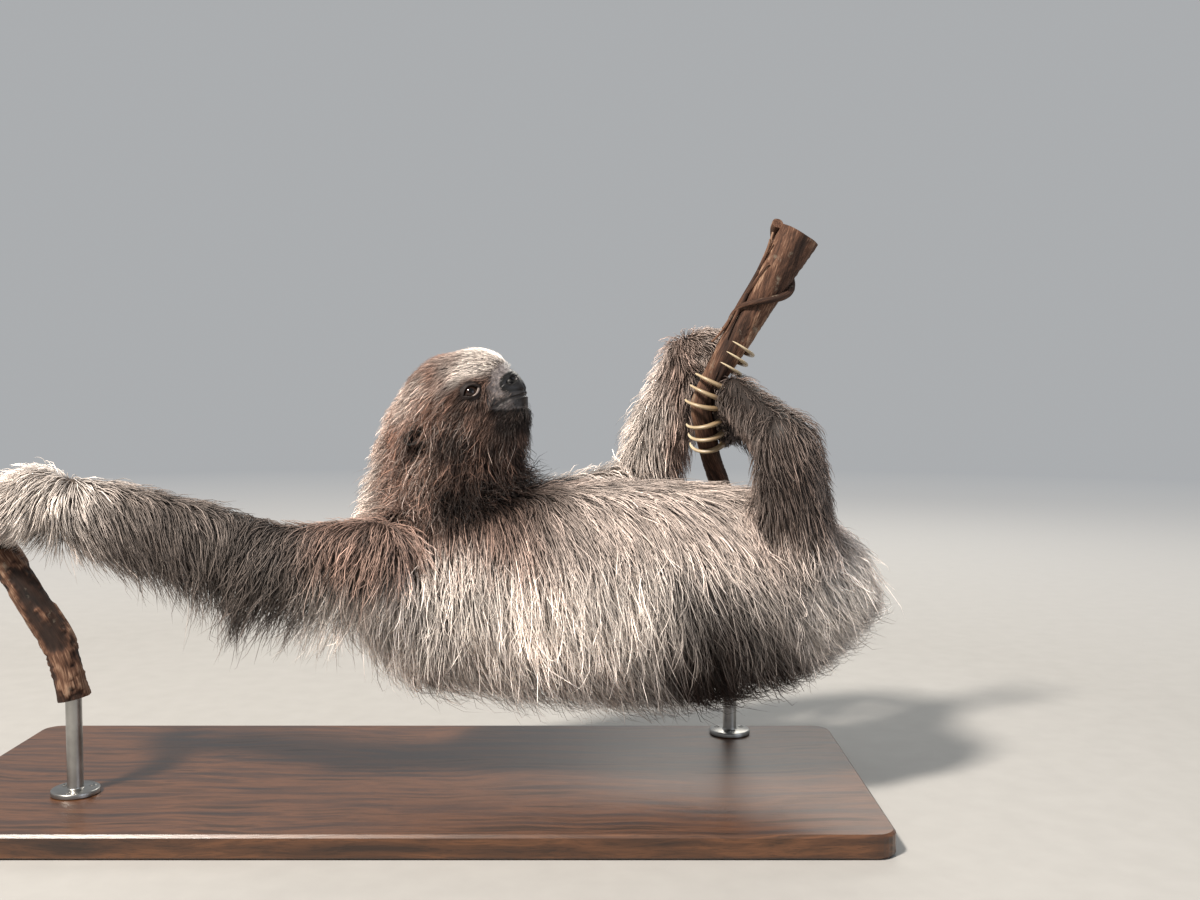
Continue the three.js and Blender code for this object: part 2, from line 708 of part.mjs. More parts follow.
// Each piece is cut by the seats of the harder or smaller pieces that are set into it.
const claws = Object.keys(parts).filter((name) => name.startsWith("claw_"));
const clawsOf = (paw) => claws.filter((name) => name.includes(paw));
const setInto = {
  perch_left: ["stand_rod_left"],
  perch_right: ["stand_rod_right"],
  hand_right: ["perch_left", ...clawsOf("hand_right")],
  hand_left: ["perch_right", ...claws, "foot_right"],
  foot_right: ["perch_right", ...claws],
  foot_left: ["perch_right", ...claws, "foot_right"],
  forearm_right: ["perch_left"],
  forearm_left: ["perch_right", ...clawsOf("foot")],
  shank_right: ["perch_right", "foot_left"],
  shank_left: ["perch_right", "foot_right", "shank_right", "thigh_right"],
  thigh_left: ["thigh_right", "shank_right", "perch_right"],
  upper_arm_left: ["neck", "perch_right"],
  head: ["eye_right", "eye_left", "ear_right", "ear_left"],
  trunk: [
    "neck", "upper_arm_right", "upper_arm_left", "forearm_left", "forearm_right", "thigh_right",
    "thigh_left", "shank_left", "tail", "perch_right", "foot_left",
  ],
  neck: ["upper_arm_right", "ear_right", "ear_left"],
};

const tints = {
  head: colour.face, muzzle: colour.muzzle, claw: colour.claw, eye: colour.eye, perch: colour.bark,
};
for (const [name, part] of Object.entries(parts)) {
  const cutters = (setInto[name] ?? []).map((other) => parts[other].seat);
  const cut = cutters.reduce((rest, cutter) => rest.subtract(cutter), part.body);
  const body = mainBody(cut, sliver[name] ?? sliver.other);
  const family = name.split("_")[0];
  if (name === "stand_base") addNode(name, body, colour.board, 0.5);
  else if (family === "stand") addNode(name, body, colour.rod, 0.3, 1);
  else addNode(name, body, tints[family] ?? colour.coat, family === "eye" ? 0.1 : 0.9);
}

export default group;
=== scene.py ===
# A still, life-size three-toed sloth, hanging belly up between two cut branches on a display stand.
# Metres, +Z up. The head lies toward -X and the rump toward +X, and the sloth's right side is -Y.
# Tables of body sizes are in millimetres, and are scaled by mm where they are used.

import math
import bmesh
import bpy
import numpy as np
import openvdb
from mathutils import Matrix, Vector
from mathutils.kdtree import KDTree


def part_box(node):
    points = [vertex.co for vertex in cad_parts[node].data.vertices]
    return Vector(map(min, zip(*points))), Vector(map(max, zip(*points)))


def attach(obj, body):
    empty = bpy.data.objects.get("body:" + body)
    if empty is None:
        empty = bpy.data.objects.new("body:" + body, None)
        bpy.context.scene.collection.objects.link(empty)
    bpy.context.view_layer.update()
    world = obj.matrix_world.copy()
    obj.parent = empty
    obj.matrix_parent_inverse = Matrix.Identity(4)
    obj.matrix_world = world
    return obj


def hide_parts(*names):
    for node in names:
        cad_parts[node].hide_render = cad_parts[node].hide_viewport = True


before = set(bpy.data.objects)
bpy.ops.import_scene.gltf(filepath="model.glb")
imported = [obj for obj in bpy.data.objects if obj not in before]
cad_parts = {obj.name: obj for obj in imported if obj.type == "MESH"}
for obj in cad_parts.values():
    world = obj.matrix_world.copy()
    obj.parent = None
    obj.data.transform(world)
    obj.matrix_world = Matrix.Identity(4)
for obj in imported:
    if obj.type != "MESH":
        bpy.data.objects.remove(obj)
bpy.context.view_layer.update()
mm = 0.001

# ---- display board ------------------------------------------------------------------------------
# The base is one plank of hardwood, sawn, rounded at its corners and planed along the grain.
# It was stained dark brown and given a satin lacquer, so the grain shows through a soft shine.


def colour(code):
    """An sRGB hex code as the linear RGBA that a shader takes."""
    parts = [int(code[i:i + 2], 16) / 255 for i in (1, 3, 5)]
    return (*[c / 12.92 if c <= 0.04045 else ((c + 0.055) / 1.055) ** 2.4 for c in parts], 1)


def add_node(tree, kind, inputs=None, stops=None, **settings):
    """Adds a shader node with its settings, its inputs as values or links, and a ramp's stops. A node given as an
    input stands for the first of its outputs that is in use."""
    made = tree.nodes.new("ShaderNode" + kind)
    for name, value in settings.items():
        setattr(made, name, value)
    for key, value in (inputs or {}).items():
        if isinstance(value, bpy.types.Node):
            value = next(socket for socket in value.outputs if socket.enabled)
        if isinstance(value, bpy.types.NodeSocket):
            tree.links.new(value, made.inputs[key])
        else:
            made.inputs[key].default_value = value
    if stops:
        ramp = made.color_ramp.elements
        while len(ramp) < len(stops):
            ramp.new(0.5)
        for element, (place, shade) in zip(ramp, stops):
            element.position = place
            element.color = colour(shade) if isinstance(shade, str) else (shade, shade, shade, 1)
    return made


def new_material(name):
    """An empty material and its node tree."""
    made = bpy.data.materials.new(name)
    made.use_nodes = True
    made.node_tree.nodes.clear()
    return made, made.node_tree


def wear(piece, *materials):
    """Gives a piece its materials, in the order of its faces' material numbers."""
    piece.data.materials.clear()
    for material in materials:
        piece.data.materials.append(material)


# Stained walnut: long dark pores in a brown ground, with slow bands where the rings were cut.
ring_width = 9 * mm
pore_width = 0.9 * mm
stained_walnut, tree = new_material("stained_walnut")
place = add_node(tree, "NewGeometry").outputs["Position"]
bent = add_node(tree, "TexNoise", {"Vector": place, "Scale": 5.0, "Detail": 2.0})
along_grain = add_node(tree, "Mapping", {"Vector": place, "Scale": (0.06, 1.0, 1.0)})
curved = add_node(tree, "VectorMath", {0: bent.outputs["Color"], 1: (0.0, 0.05, 0.03)}, operation="MULTIPLY")
grain = add_node(tree, "VectorMath", {0: along_grain, 1: curved}, operation="ADD")
rings = add_node(tree, "TexNoise", {"Vector": grain, "Scale": 1 / ring_width, "Detail": 3.0})
pores = add_node(tree, "TexNoise", {"Vector": grain, "Scale": 1 / pore_width, "Detail": 2.0})
ground = add_node(
    tree, "ValToRGB", {"Fac": rings},
    [(0.3, "#2b1a10"), (0.48, "#4a2e1b"), (0.56, "#5b3a23"), (0.7, "#35200f")])
pitted = add_node(tree, "ValToRGB", {"Fac": pores}, [(0.36, 0.45), (0.5, 1.0)])
tone = add_node(tree, "Mix", {0: 0.6, 6: ground, 7: pitted}, data_type="RGBA", blend_type="MULTIPLY")
satin = add_node(tree, "MapRange", {"Value": rings, "To Min": 0.28, "To Max": 0.45})
relief = add_node(tree, "Bump", {"Height": pitted, "Strength": 0.25, "Distance": 0.2 * mm})
shader = add_node(tree, "BsdfPrincipled", {
    "Base Color": tone, "Roughness": satin, "Normal": relief, "Coat Weight": 0.25, "Coat Roughness": 0.25,
    "IOR": 1.5})
add_node(tree, "OutputMaterial", {0: shader})

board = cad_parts["stand_base"]
wear(board, stained_walnut)

# ---- rods ---------------------------------------------------------------------------------------
# Two turned steel rods stand on the board, each with a flange held down by three countersunk screws.
# They were faced and polished on the lathe, and the branches are drilled to sit on their upper ends.

rod_radius = 6 * mm
flange_radius = 18 * mm
flange_height = 4 * mm
fillet = 1.2 * mm
screw_radius = 2.6 * mm
screw_circle = 12.5 * mm


def placed(name, data):
    """An object with this data, in the scene."""
    made = bpy.data.objects.new(name, data)
    bpy.context.scene.collection.objects.link(made)
    return made


def store(mesh, **attributes):
    """Gives a mesh a value or a vector for each of its points, under these names."""
    for key, values in attributes.items():
        values = np.asarray(values, np.float32)
        kind, field = ("FLOAT", "value") if values.ndim == 1 else ("FLOAT_VECTOR", "vector")
        mesh.attributes.new(key, kind, "POINT").data.foreach_set(field, values.ravel())


def new_piece(name, vertices, faces, **attributes):
    """A mesh object from arrays: faces is a list of arrays, each with one row per face."""
    mesh = bpy.data.meshes.new(name)
    mesh.vertices.add(len(vertices))
    mesh.vertices.foreach_set("co", np.asarray(vertices, np.float32).ravel())
    corners = np.concatenate([np.asarray(f, np.int32).ravel() for f in faces])
    sizes = np.concatenate([np.full(len(f), np.shape(f)[1], np.int32) for f in faces])
    mesh.loops.add(len(corners))
    mesh.loops.foreach_set("vertex_index", corners)
    mesh.polygons.add(len(sizes))
    mesh.polygons.foreach_set("loop_start", np.concatenate([[0], np.cumsum(sizes)[:-1]]).astype(np.int32))
    mesh.update(calc_edges=True)
    mesh.polygons.foreach_set("use_smooth", np.full(len(sizes), True))
    store(mesh, **attributes)
    return placed(name, mesh)


def turned(profile, sides):
    """The rings of a lathe shape round Z, from rows of radius and height, from the bottom up."""
    radius, height = np.asarray(profile, float).T[..., None]
    turn = np.arange(sides) / sides * 2 * math.pi
    return np.stack([radius * np.cos(turn), radius * np.sin(turn), np.repeat(height, sides, 1)], 2)


def skinned(rings):
    """The side faces between rows of rings, and a cap at each end as a fan round a middle point."""
    count, sides = rings.shape[:2]
    here = np.arange(count * sides).reshape(count, sides)
    after = np.roll(here, -1, 1)
    walls = np.stack([here[:-1], after[:-1], after[1:], here[1:]], 2).reshape(-1, 4)
    caps = np.concatenate([
        np.stack([after[0], here[0], np.full(sides, count * sides)], 1),
        np.stack([here[-1], after[-1], np.full(sides, count * sides + 1)], 1)])
    vertices = np.concatenate([rings.reshape(-1, 3), [rings[0].mean(0)], [rings[-1].mean(0)]])
    return vertices, walls, caps


def joined(parts):
    """Several (vertices, [faces, ...]) as one."""
    vertices, faces, start = [], [], 0
    for points, groups in parts:
        faces += [np.asarray(g) + start for g in groups]
        vertices.append(points)
        start += len(points)
    return np.concatenate(vertices), faces


def rod_shape(foot, top):
    """One rod with its flange and screws, from the board's top up into the branch."""
    bend = np.linspace(0, math.pi / 2, 5)
    neck = [(rod_radius + fillet * (1 - math.sin(t)), flange_height + fillet * (1 - math.cos(t))) for t in bend]
    profile = [
        (0.5 * mm, 0), (flange_radius - 0.4 * mm, 0), (flange_radius, 0.4 * mm),
        (flange_radius, flange_height - 1 * mm), (flange_radius - 0.3 * mm, flange_height - 0.4 * mm),
        (flange_radius - 1 * mm, flange_height), *sorted(neck, key=lambda p: p[1]),
        (rod_radius, 0.5 * top), (rod_radius, top - 0.6 * mm), (rod_radius - 0.6 * mm, top), (0.5 * mm, top)]
    parts = [skinned(turned(profile, 64))]
    head = [(0.3 * mm, -0.3 * mm), (screw_radius, -0.3 * mm), (screw_radius, 0.25 * mm),
            (screw_radius - 0.35 * mm, 0.5 * mm), (1.3 * mm, 0.5 * mm), (1.15 * mm, -0.1 * mm), (0.2 * mm, -0.1 * mm)]
    for number in range(3):
        turn = (number + 0.25) / 3 * 2 * math.pi
        vertices, walls, caps = skinned(turned(head, 24))
        vertices += (screw_circle * math.cos(turn), screw_circle * math.sin(turn), flange_height)
        parts.append((vertices, walls, caps))
    vertices, faces = joined([(v, [w, c]) for v, w, c in parts])
    return vertices + foot, faces


# Stainless steel, brushed round the rod: fine turning lines that spread the highlight up and down.
turning_line = 0.35 * mm
brushed_steel, tree = new_material("brushed_stainless_steel")
place = add_node(tree, "NewGeometry").outputs["Position"]
lathe = add_node(tree, "Mapping", {"Vector": place, "Scale": (0.05, 0.05, 1.0)})
lines = add_node(tree, "TexNoise", {"Vector": lathe, "Scale": 1 / turning_line, "Detail": 3.0})
stain = add_node(tree, "TexNoise", {"Vector": place, "Scale": 60.0, "Detail": 4.0})
shade = add_node(tree, "ValToRGB", {"Fac": stain}, [(0.3, "#8d8c89"), (0.7, "#a9a8a5")])
dull = add_node(tree, "MapRange", {"Value": lines, "To Min": 0.22, "To Max": 0.42})
relief = add_node(tree, "Bump", {"Height": lines, "Strength": 0.15, "Distance": 0.05 * mm})
shader = add_node(tree, "BsdfPrincipled", {"Base Color": shade, "Metallic": 1.0, "Roughness": dull, "Normal": relief})
add_node(tree, "OutputMaterial", {0: shader})

for side in ("left", "right"):
    low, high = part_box(f"stand_rod_{side}")
    foot = ((low.x + high.x) / 2, (low.y + high.y) / 2, low.z)
    rod = new_piece(f"rod_{side}", *rod_shape(foot, high.z - low.z))
    wear(rod, brushed_steel)
    rod.data.set_sharp_from_angle(angle=math.radians(35))
    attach(rod, "root")
    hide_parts(f"stand_rod_{side}")

# ---- branches -----------------------------------------------------------------------------------
# Two short cut lengths of forest climber carry the sloth. The left one has flaking reddish brown bark.
# The right one is fibrous and twisted, with a thinner stem grown round its top and a dry strand peeling off it.
# Both are sawn square at their ends, and drilled below for the rods.

left_path = np.array([(-349, -40, 290), (-325, -44, 232), (-286, -48, 170), (-262, -50, 128), (-254, -50, 92)])
right_path = np.array([
    (311, 16, 453), (287, 18, 413), (264, 20, 375), (243, 20, 338), (234, 23, 315),
    (237, 30, 295), (244, 50, 269), (256, 80, 241), (264, 104, 212), (267, 114, 175)])
left_radii = np.array([(0, 12), (1, 12.5)])  # share of the length, radius
right_radii = np.array([(0, 17), (0.4, 9.5), (1, 9)])
ring_step = 1.4 * mm
branch_sides = 56


def unit(vectors):
    return vectors / np.maximum(np.linalg.norm(vectors, axis=-1, keepdims=True), 1e-12)


def between(t, low, high, start, end):
    """The value at t of a line that starts at low and ends at high."""
    return ((high - t) * start + (t - low) * end) / (high - low)


def smooth_path(path):
    """Points close together on the centripetal spline through a path given in millimetres, in metres."""
    points = np.concatenate([[2 * path[0] - path[1]], path, [2 * path[-1] - path[-2]]]) * mm
    found = []
    for p in (points[i:i + 4] for i in range(len(path) - 1)):
        knot = np.concatenate([[0], np.cumsum(np.linalg.norm(np.diff(p, axis=0), axis=1) ** 0.5)])
        t = np.linspace(knot[1], knot[2], 60, endpoint=False)[:, None]
        first, second, third = (between(t, knot[i], knot[i + 1], p[i], p[i + 1]) for i in range(3))
        early, late = between(t, knot[0], knot[2], first, second), between(t, knot[1], knot[3], second, third)
        found.append(between(t, knot[1], knot[2], early, late))
    return np.concatenate([*found, points[-2:-1]])


def travel(points):
    """The distance along a line of points, at each point."""
    return np.concatenate([[0], np.cumsum(np.linalg.norm(np.diff(points, axis=0), axis=1))])


def along(points, share):
    """The places and directions at these shares of a line's length."""
    far = travel(points)
    at = np.asarray(share, float) * far[-1]
    place = np.stack([np.interp(at, far, points[:, i]) for i in range(3)], -1)
    ahead, behind = np.clip(at + 1 * mm, 0, far[-1]), np.clip(at - 1 * mm, 0, far[-1])
    way = [np.interp(ahead, far, points[:, i]) - np.interp(behind, far, points[:, i]) for i in range(3)]
    return place, unit(np.stack(way, -1))


def carried_frames(way):
    """Two directions across a line at each point, turned as little as possible from one to the next."""
    across = [unit(np.array((0, 1, 0)) - way[0] * (way[0] @ (0, 1, 0)))]
    for w in way[1:]:
        across.append(unit(across[-1] - w * (across[-1] @ w)))
    across = np.array(across)
    return across, np.cross(way, across)


def tube(points, radii, sides):
    """Rings of a tube along a line of points, with a radius for each point, or for each corner of each ring."""
    way = unit(np.gradient(points, axis=0))
    across, upward = carried_frames(way)
    turn = (np.arange(sides) / sides * 2 * math.pi)[None, :, None]
    radii = np.asarray(radii)
    radii = (radii if radii.ndim == 2 else radii[:, None])[..., None]
    return points[:, None] + radii * (np.cos(turn) * across[:, None] + np.sin(turn) * upward[:, None])


def blotches(points, size, seed):
    """Soft random values from -1 to 1 that change over this size."""
    cell = points / size + seed * 17.31
    base = np.floor(cell).astype(np.int64)
    part = cell - base
    part = part * part * (3 - 2 * part)
    total = 0
    for corner in np.ndindex(2, 2, 2):
        key = ((base + corner) * (73856093, 19349663, 83492791)).sum(-1) & 0xFFFFFFFF
        key = ((key ^ (key >> 13)) * 1274126177) & 0xFFFFFFFF
        key = ((key ^ (key >> 16)) * 668265263) & 0xFFFFFFFF
        value = ((key >> 8) & 0xFFFF) / 32767.5 - 1
        total = total + value * np.prod(np.where(corner, part, 1 - part), -1)
    return total


def fibrous(spot):
    """Relief of twisted fibrous bark, from -1 to 1. spot is the place on the bark, unrolled."""
    long = spot * (1, 1, 0.12)
    cords = blotches(long, 7 * mm, 1)
    fibres = 1 - 2 * np.abs(blotches(long, 2.4 * mm, 2))
    return 0.55 * cords + 0.3 * fibres + 0.3 * blotches(spot * (1, 1, 0.4), 14 * mm, 3)


def flaky(spot):
    """Relief of thin flakes with torn edges, from -1 to 1."""
    plates = blotches(spot * (1, 1, 0.45), 8 * mm, 4) + 0.35 * blotches(spot, 2.5 * mm, 5)
    edges = np.clip(plates * 5, -1, 1)
    return 0.5 * edges + 0.3 * blotches(spot * (1, 1, 0.3), 2 * mm, 6) + 0.35 * blotches(spot, 18 * mm, 7)


def branch_part(points, radii, relief, depth, twist, sides=branch_sides, seed=0):
    """A branch along a line of points, with its bark's relief, and the bark's height and unrolled place."""
    far = travel(points)
    turn = np.arange(sides) / sides * 2 * math.pi + twist * far[:, None]
    depth_in = np.repeat(far[:, None], sides, 1) + seed
    spot = np.stack([radii[:, None] * np.cos(turn), radii[:, None] * np.sin(turn), depth_in], 2)
    height = np.clip(relief(spot), -1, 1)
    rings = tube(points, radii[:, None] + depth * (height - 0.35), sides)
    vertices, walls, caps = skinned(rings)
    middles = np.stack([(0, 0, spot[0, 0, 2]), (0, 0, spot[-1, 0, 2])])
    return vertices, [walls, caps], np.concatenate([height.ravel(), (0, 0)]), np.concatenate(
        [spot.reshape(-1, 3), middles])


def add_branch(name, parts):
    """One object from branch parts, with bark on the sides and sawn wood on the ends."""
    vertices, faces = joined([(p[0], p[1]) for p in parts])
    piece = new_piece(
        name, vertices, faces, height=np.concatenate([p[2] for p in parts]),
        spot=np.concatenate([p[3] for p in parts]))
    ends = np.concatenate([np.full(len(f), f.shape[1] == 3) for f in faces])
    piece.data.polygons.foreach_set("material_index", ends.astype(np.int32))
    wear(piece, climber_bark, sawn_wood)
    piece.data.set_sharp_from_angle(angle=math.radians(60))
    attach(piece, "root")
    return piece


# Bark of a woody climber: dry, matt and reddish brown, its colour set by the height of its relief: nearly black in
# its furrows and pale on its ridges.
fibre_width = 0.9 * mm
climber_bark, tree = new_material("climber_bark")
height = add_node(tree, "Attribute", attribute_name="height").outputs["Fac"]
spot = add_node(tree, "Attribute", attribute_name="spot").outputs["Vector"]
long = add_node(tree, "Mapping", {"Vector": spot, "Scale": (1.0, 1.0, 0.1)})
fibres = add_node(tree, "TexNoise", {"Vector": long, "Scale": 1 / fibre_width, "Detail": 4.0})
lichen = add_node(tree, "TexNoise", {"Vector": spot, "Scale": 70.0, "Detail": 5.0, "Roughness": 0.65})
ridge = add_node(tree, "MapRange", {"Value": height, "From Min": -0.9, "From Max": 0.9})
mixed = add_node(tree, "Math", {0: ridge, 1: fibres, 2: 0.08}, operation="MULTIPLY_ADD")
bark = add_node(
    tree, "ValToRGB", {"Fac": mixed},
    [(0.08, "#120b08"), (0.26, "#2f1e15"), (0.42, "#573c2d"), (0.62, "#8f735e")])
patch = add_node(tree, "ValToRGB", {"Fac": lichen}, [(0.6, 0.0), (0.72, 0.55)])
tone = add_node(tree, "Mix", {0: patch, 6: bark, 7: colour("#8e8676")}, data_type="RGBA")
relief = add_node(tree, "Bump", {"Height": fibres, "Strength": 0.7, "Distance": 0.5 * mm})
dry = add_node(tree, "MapRange", {"Value": fibres, "To Min": 0.95, "To Max": 0.7})
shader = add_node(tree, "BsdfPrincipled", {
    "Base Color": tone, "Roughness": dry, "Normal": relief,
    "Specular IOR Level": 0.3})
add_node(tree, "OutputMaterial", {0: shader})

# Freshly sawn end grain: pale yellowish wood with thin darker rings round the pith.
sawn_wood, tree = new_material("sawn_wood")
spot = add_node(tree, "Attribute", attribute_name="spot").outputs["Vector"]
flat = add_node(tree, "VectorMath", {0: spot, 1: (1.0, 1.0, 0.0)}, operation="MULTIPLY")
depth = add_node(tree, "VectorMath", {0: flat}, operation="LENGTH").outputs["Value"]
waver = add_node(tree, "TexNoise", {"Vector": spot, "Scale": 180.0, "Detail": 3.0})
drift = add_node(tree, "Math", {0: waver, 1: 1.5 * mm, 2: depth}, operation="MULTIPLY_ADD")
turns = add_node(tree, "Math", {0: drift, 1: 2 * math.pi / (1.7 * mm)}, operation="MULTIPLY")
ring = add_node(tree, "Math", {0: turns}, operation="SINE")
wood = add_node(tree, "ValToRGB", {"Fac": ring}, [(0.0, "#c9a77b"), (0.85, "#a57c50")])
shader = add_node(tree, "BsdfPrincipled", {"Base Color": wood, "Roughness": 0.8})
add_node(tree, "OutputMaterial", {0: shader})

left_line, right_line = smooth_path(left_path), smooth_path(right_path)


def radius_at(radii, share):
    return np.interp(share, radii[:, 0], radii[:, 1]) * mm


def stretch(line):
    """Shares of a line's length, one ring step apart."""
    return np.linspace(0, 1, int(travel(line)[-1] / ring_step))


shares = stretch(left_line)
left_branch = add_branch("branch_left", [
    branch_part(along(left_line, shares)[0], radius_at(left_radii, shares), flaky, 1.5 * mm, 4)])
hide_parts("perch_left")


def beside(line, radii, shares, angles, out):
    """Points that wind round a branch at these angles, this far out of its bark."""
    place, way = along(line, shares)
    across = unit(np.cross((0, 1, 0), way))
    upward = np.cross(way, across)
    reach = (radius_at(radii, shares) + out)[:, None]
    return place + reach * (np.cos(angles)[:, None] * across + np.sin(angles)[:, None] * upward)


shares = stretch(right_line)
parts = [branch_part(along(right_line, shares)[0], radius_at(right_radii, shares), fibrous, 2.0 * mm, 16)]
# The thin stem winds once round the top of the branch and sinks into its bark.
vine_radius = 4.5 * mm
vine_turns = 1.1
t = np.linspace(0, 1, 110)
vine_line = beside(
    right_line, right_radii, 0.004 + 0.27 * t, vine_turns * 2 * math.pi * t, vine_radius - (1.5 + 4 * t * t) * mm)
parts.append(branch_part(vine_line, vine_radius * (1 - 0.45 * t), fibrous, 0.9 * mm, 30, 24, 1.0))
# The dry strands lie on the left edge of the branch and lift off it at both ends. For each: its angle round the
# branch and its share of the branch's length at both ends, and its lift in millimetres.
dry_strands = ((-0.5, -0.2, 0.05, 0.33, 5), (-0.9, -0.1, 0.1, 0.29, 2), (-0.2, -0.8, 0.03, 0.3, 3))
t = np.linspace(0, 1, 60)
for turn_from, turn_to, first, last, lift in dry_strands:
    line = beside(
        right_line, right_radii, first + (last - first) * t, turn_from + (turn_to - turn_from) * t,
        (0.6 + lift * (2 * t - 1) ** 4) * mm)
    parts.append(branch_part(line, (1.7 - 0.9 * (2 * t - 1) ** 2) * mm, fibrous, 0.5 * mm, 60, 12, first))
right_branch = add_branch("branch_right", parts)
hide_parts("perch_right")

# ---- skin ---------------------------------------------------------------------------------------
# One skin covers the whole animal under its coat, from the bare black nose to the soles of its feet.
# It is drawn as rounded lengths of flesh melted together, each with the outline of its coat round it.
# The lids, the mouth line, the nostrils and the nose pad are worked into it at the scale of the face.

nose_tip = np.array((91.8, -14, 331.9))
pitch, yaw = math.radians(27), math.radians(15)  # face lifted, and turned to the sloth's right
forward = np.array((math.cos(pitch) * math.cos(yaw), -math.cos(pitch) * math.sin(yaw), math.sin(pitch)))
upward = np.array((-math.sin(pitch) * math.cos(yaw), math.sin(pitch) * math.sin(yaw), math.cos(pitch)))
head_axes = np.array((forward, upward, np.cross(upward, forward)))
down = np.array((0, 0, -1.0))


def head(ahead, up):
    """A place in the middle plane of the head, this many millimetres ahead of the tip of the nose and above it."""
    return nose_tip + np.array((ahead, up, 0)) @ head_axes


def in_head(points):
    """The other way: millimetres ahead, up and to the sloth's left of the tip of the nose, from places in metres."""
    return (points / mm - nose_tip) @ head_axes.T


def length(limb, piece, start, end, coat, flesh, lay, hair, rise=(0, 0), wide=(1, 1)):
    """A length of body: the radii of its coat and of its flesh at both ends, in millimetres.
    lay is the way the hair lies at both ends, and hair its length over bare flesh and for each unit of coat.
    rise is how far the flesh lies above the middle of the coat, and wide how much coat and flesh are stretched
    along Y."""
    start, end = np.array(start, float), np.array(end, float)
    lift = np.array((0, 0, 1.0))
    return {
        "limb": limb, "piece": piece, "lay": unit(np.array(lay, float)), "hair": hair,
        "coat": (start * mm, end * mm, coat[0] * mm, coat[1] * mm, wide[0]),
        "flesh": (
            (start + rise[0] * lift) * mm, (end + rise[1] * lift) * mm,
            flesh[0] * mm, flesh[1] * mm, wide[1])}


to_rump = (0.45, 0, -1)
back = -forward
to_elbow = (-0.6, 0, -0.8)
body = [
    length("trunk", "chest", (13, 0, 168), (118, 0, 169), (77, 86), (54, 62),
           ((0.1, 0, -1), to_rump), (28, 1.15), (15, 17), (1.07, 1.14)),
    length("trunk", "belly", (118, 0, 169), (205, 0, 169), (86, 87), (62, 63),
           (to_rump, to_rump), (28, 1.15), (17, 17), (1.07, 1.14)),
    length("trunk", "loin", (205, 0, 169), (270, 0, 171), (87, 76), (63, 57),
           (to_rump, (0.8, 0, -1)), (28, 1.1), (17, 15), (1.07, 1.14)),
    length("trunk", "rump", (270, 0, 171), (324, 0, 174), (76, 47), (57, 33),
           ((0.8, 0, -1), (1, 0, -1)), (24, 1.0), (15, 8), (1.07, 1.12)),
    length("tail", "rump", (338, 0, 172), (361, 0, 166), (16, 12), (10, 7), ((1, 0, -0.5), (1, 0, -0.5)), (14, 1)),
    length("neck", "neck", (38, 2, 296), (28, 0, 218), (54, 68), (34, 42),
           ((-0.25, 0, -1), (0.1, 0, -1)), (12, 1.1), (0, 4), (0.84, 0.9)),
    length("neck", "neck", (-4, 0, 262), (-6, 0, 226), (38, 44), (20, 26),
           ((-0.35, 0, -1), (-0.3, 0, -1)), (12, 1.1), (0, 0), (0.95, 0.95)),
    length("neck", "neck", (69, -8, 289), (65, -3, 269), (28, 33.5), (16, 16),
           ((0.3, 0, -1), (0.35, 0, -1)), (8, 1.2), (0, 0), (0.84, 0.9)),
    length("head", "head", head(-66, 10), head(-86, -2), (40, 47), (34, 35),
           (back + 0.5 * down, (-0.3, 0, -1)), (10, 1.5), (0, 0), (1.06, 1.04)),
    length("head", "face", head(-39, 18), head(-56, 14), (31, 39), (28.5, 35),
           (back, back + 0.3 * down), (3.5, 1.3), (0, 0), (0.84, 0.86)),
    length("head", "face", head(-32, 11), head(-18.2, 4), (24, 17), (22.3, 15.2),
           (back, back), (2.2, 1.3), (0, 0), (0.9, 0.9)),
    length("head", "face", head(-40, -15), head(-21.5, -10), (21, 17), (18, 14.6),
           (back + 0.8 * down, back), (2.2, 1.4), (0, 0), (0.92, 0.92)),
    length("arm_right", "upper_arm_right", (-22, -64, 181), (-110, -69, 182), (56, 49), (28, 22),
           ((-0.35, 0, -1), (-0.3, 0, -1)), (18, 1.05), (20, 19), (0.68, 0.9)),
    length("arm_right", "upper_arm_right", (-96, -70, 196), (-152, -75, 213), (37, 38), (23, 19),
           (to_elbow, (0.3, 0, -1)), (18, 0.95), (8, 10), (0.85, 1)),
    length("arm_right", "forearm_right", (-152, -75, 213), (-212, -69, 218), (38, 45), (19, 18),
           ((0.5, 0, -1), (0.8, 0, -0.8)), (18, 0.95), (10, 19), (0.78, 1)),
    length("arm_right", "forearm_right", (-212, -69, 218), (-272, -59, 241), (45, 33), (18, 16),
           ((0.8, 0, -0.8), (-0.5, 0, -0.8)), (14, 0.9), (19, 9), (0.8, 1)),
    length("arm_left", "upper_arm_left", (50, 60, 206), (187, 100, 238), (40, 37), (25, 22),
           ((0.6, 0.2, -0.9), (0.6, 0.2, -0.9)), (14, 0.9), (4, 4)),
    length("arm_left", "forearm_left", (187, 100, 238), (208, 78.4, 309.4), (39, 36), (21, 18),
           ((0.2, 0.2, -1), (0.1, 0, -1)), (12, 0.9), (2, 0)),
    length("arm_left", "forearm_left", (208, 78.4, 309.4), (222, 64, 357), (36, 24), (18, 14),
           ((-0.2, 0, -1), (-0.6, 0, -0.7)), (10, 0.9)),
    length("leg_right", "leg_right", (300, -40, 209), (290, -58, 289), (40, 29), (27, 20),
           ((0.3, -0.2, -1), (0.3, -0.2, -1)), (13, 0.9)),
    length("leg_right", "leg_right", (290, -58, 289), (261, 8, 324), (28, 19), (18, 13),
           ((0.3, -0.3, -1), (0.5, -0.3, -0.6)), (10, 0.9)),
    length("leg_left", "leg_left", (313, 42, 200), (322, 86, 268), (40, 29), (27, 20),
           ((0.2, 0.3, -1), (0.2, 0.3, -1)), (13, 0.9)),
    length("leg_left", "leg_left", (322, 86, 268), (270, 52, 300), (27, 18), (17, 12.5),
           ((0.4, 0.2, -1), (0.5, 0.2, -0.6)), (10, 0.9)),
]
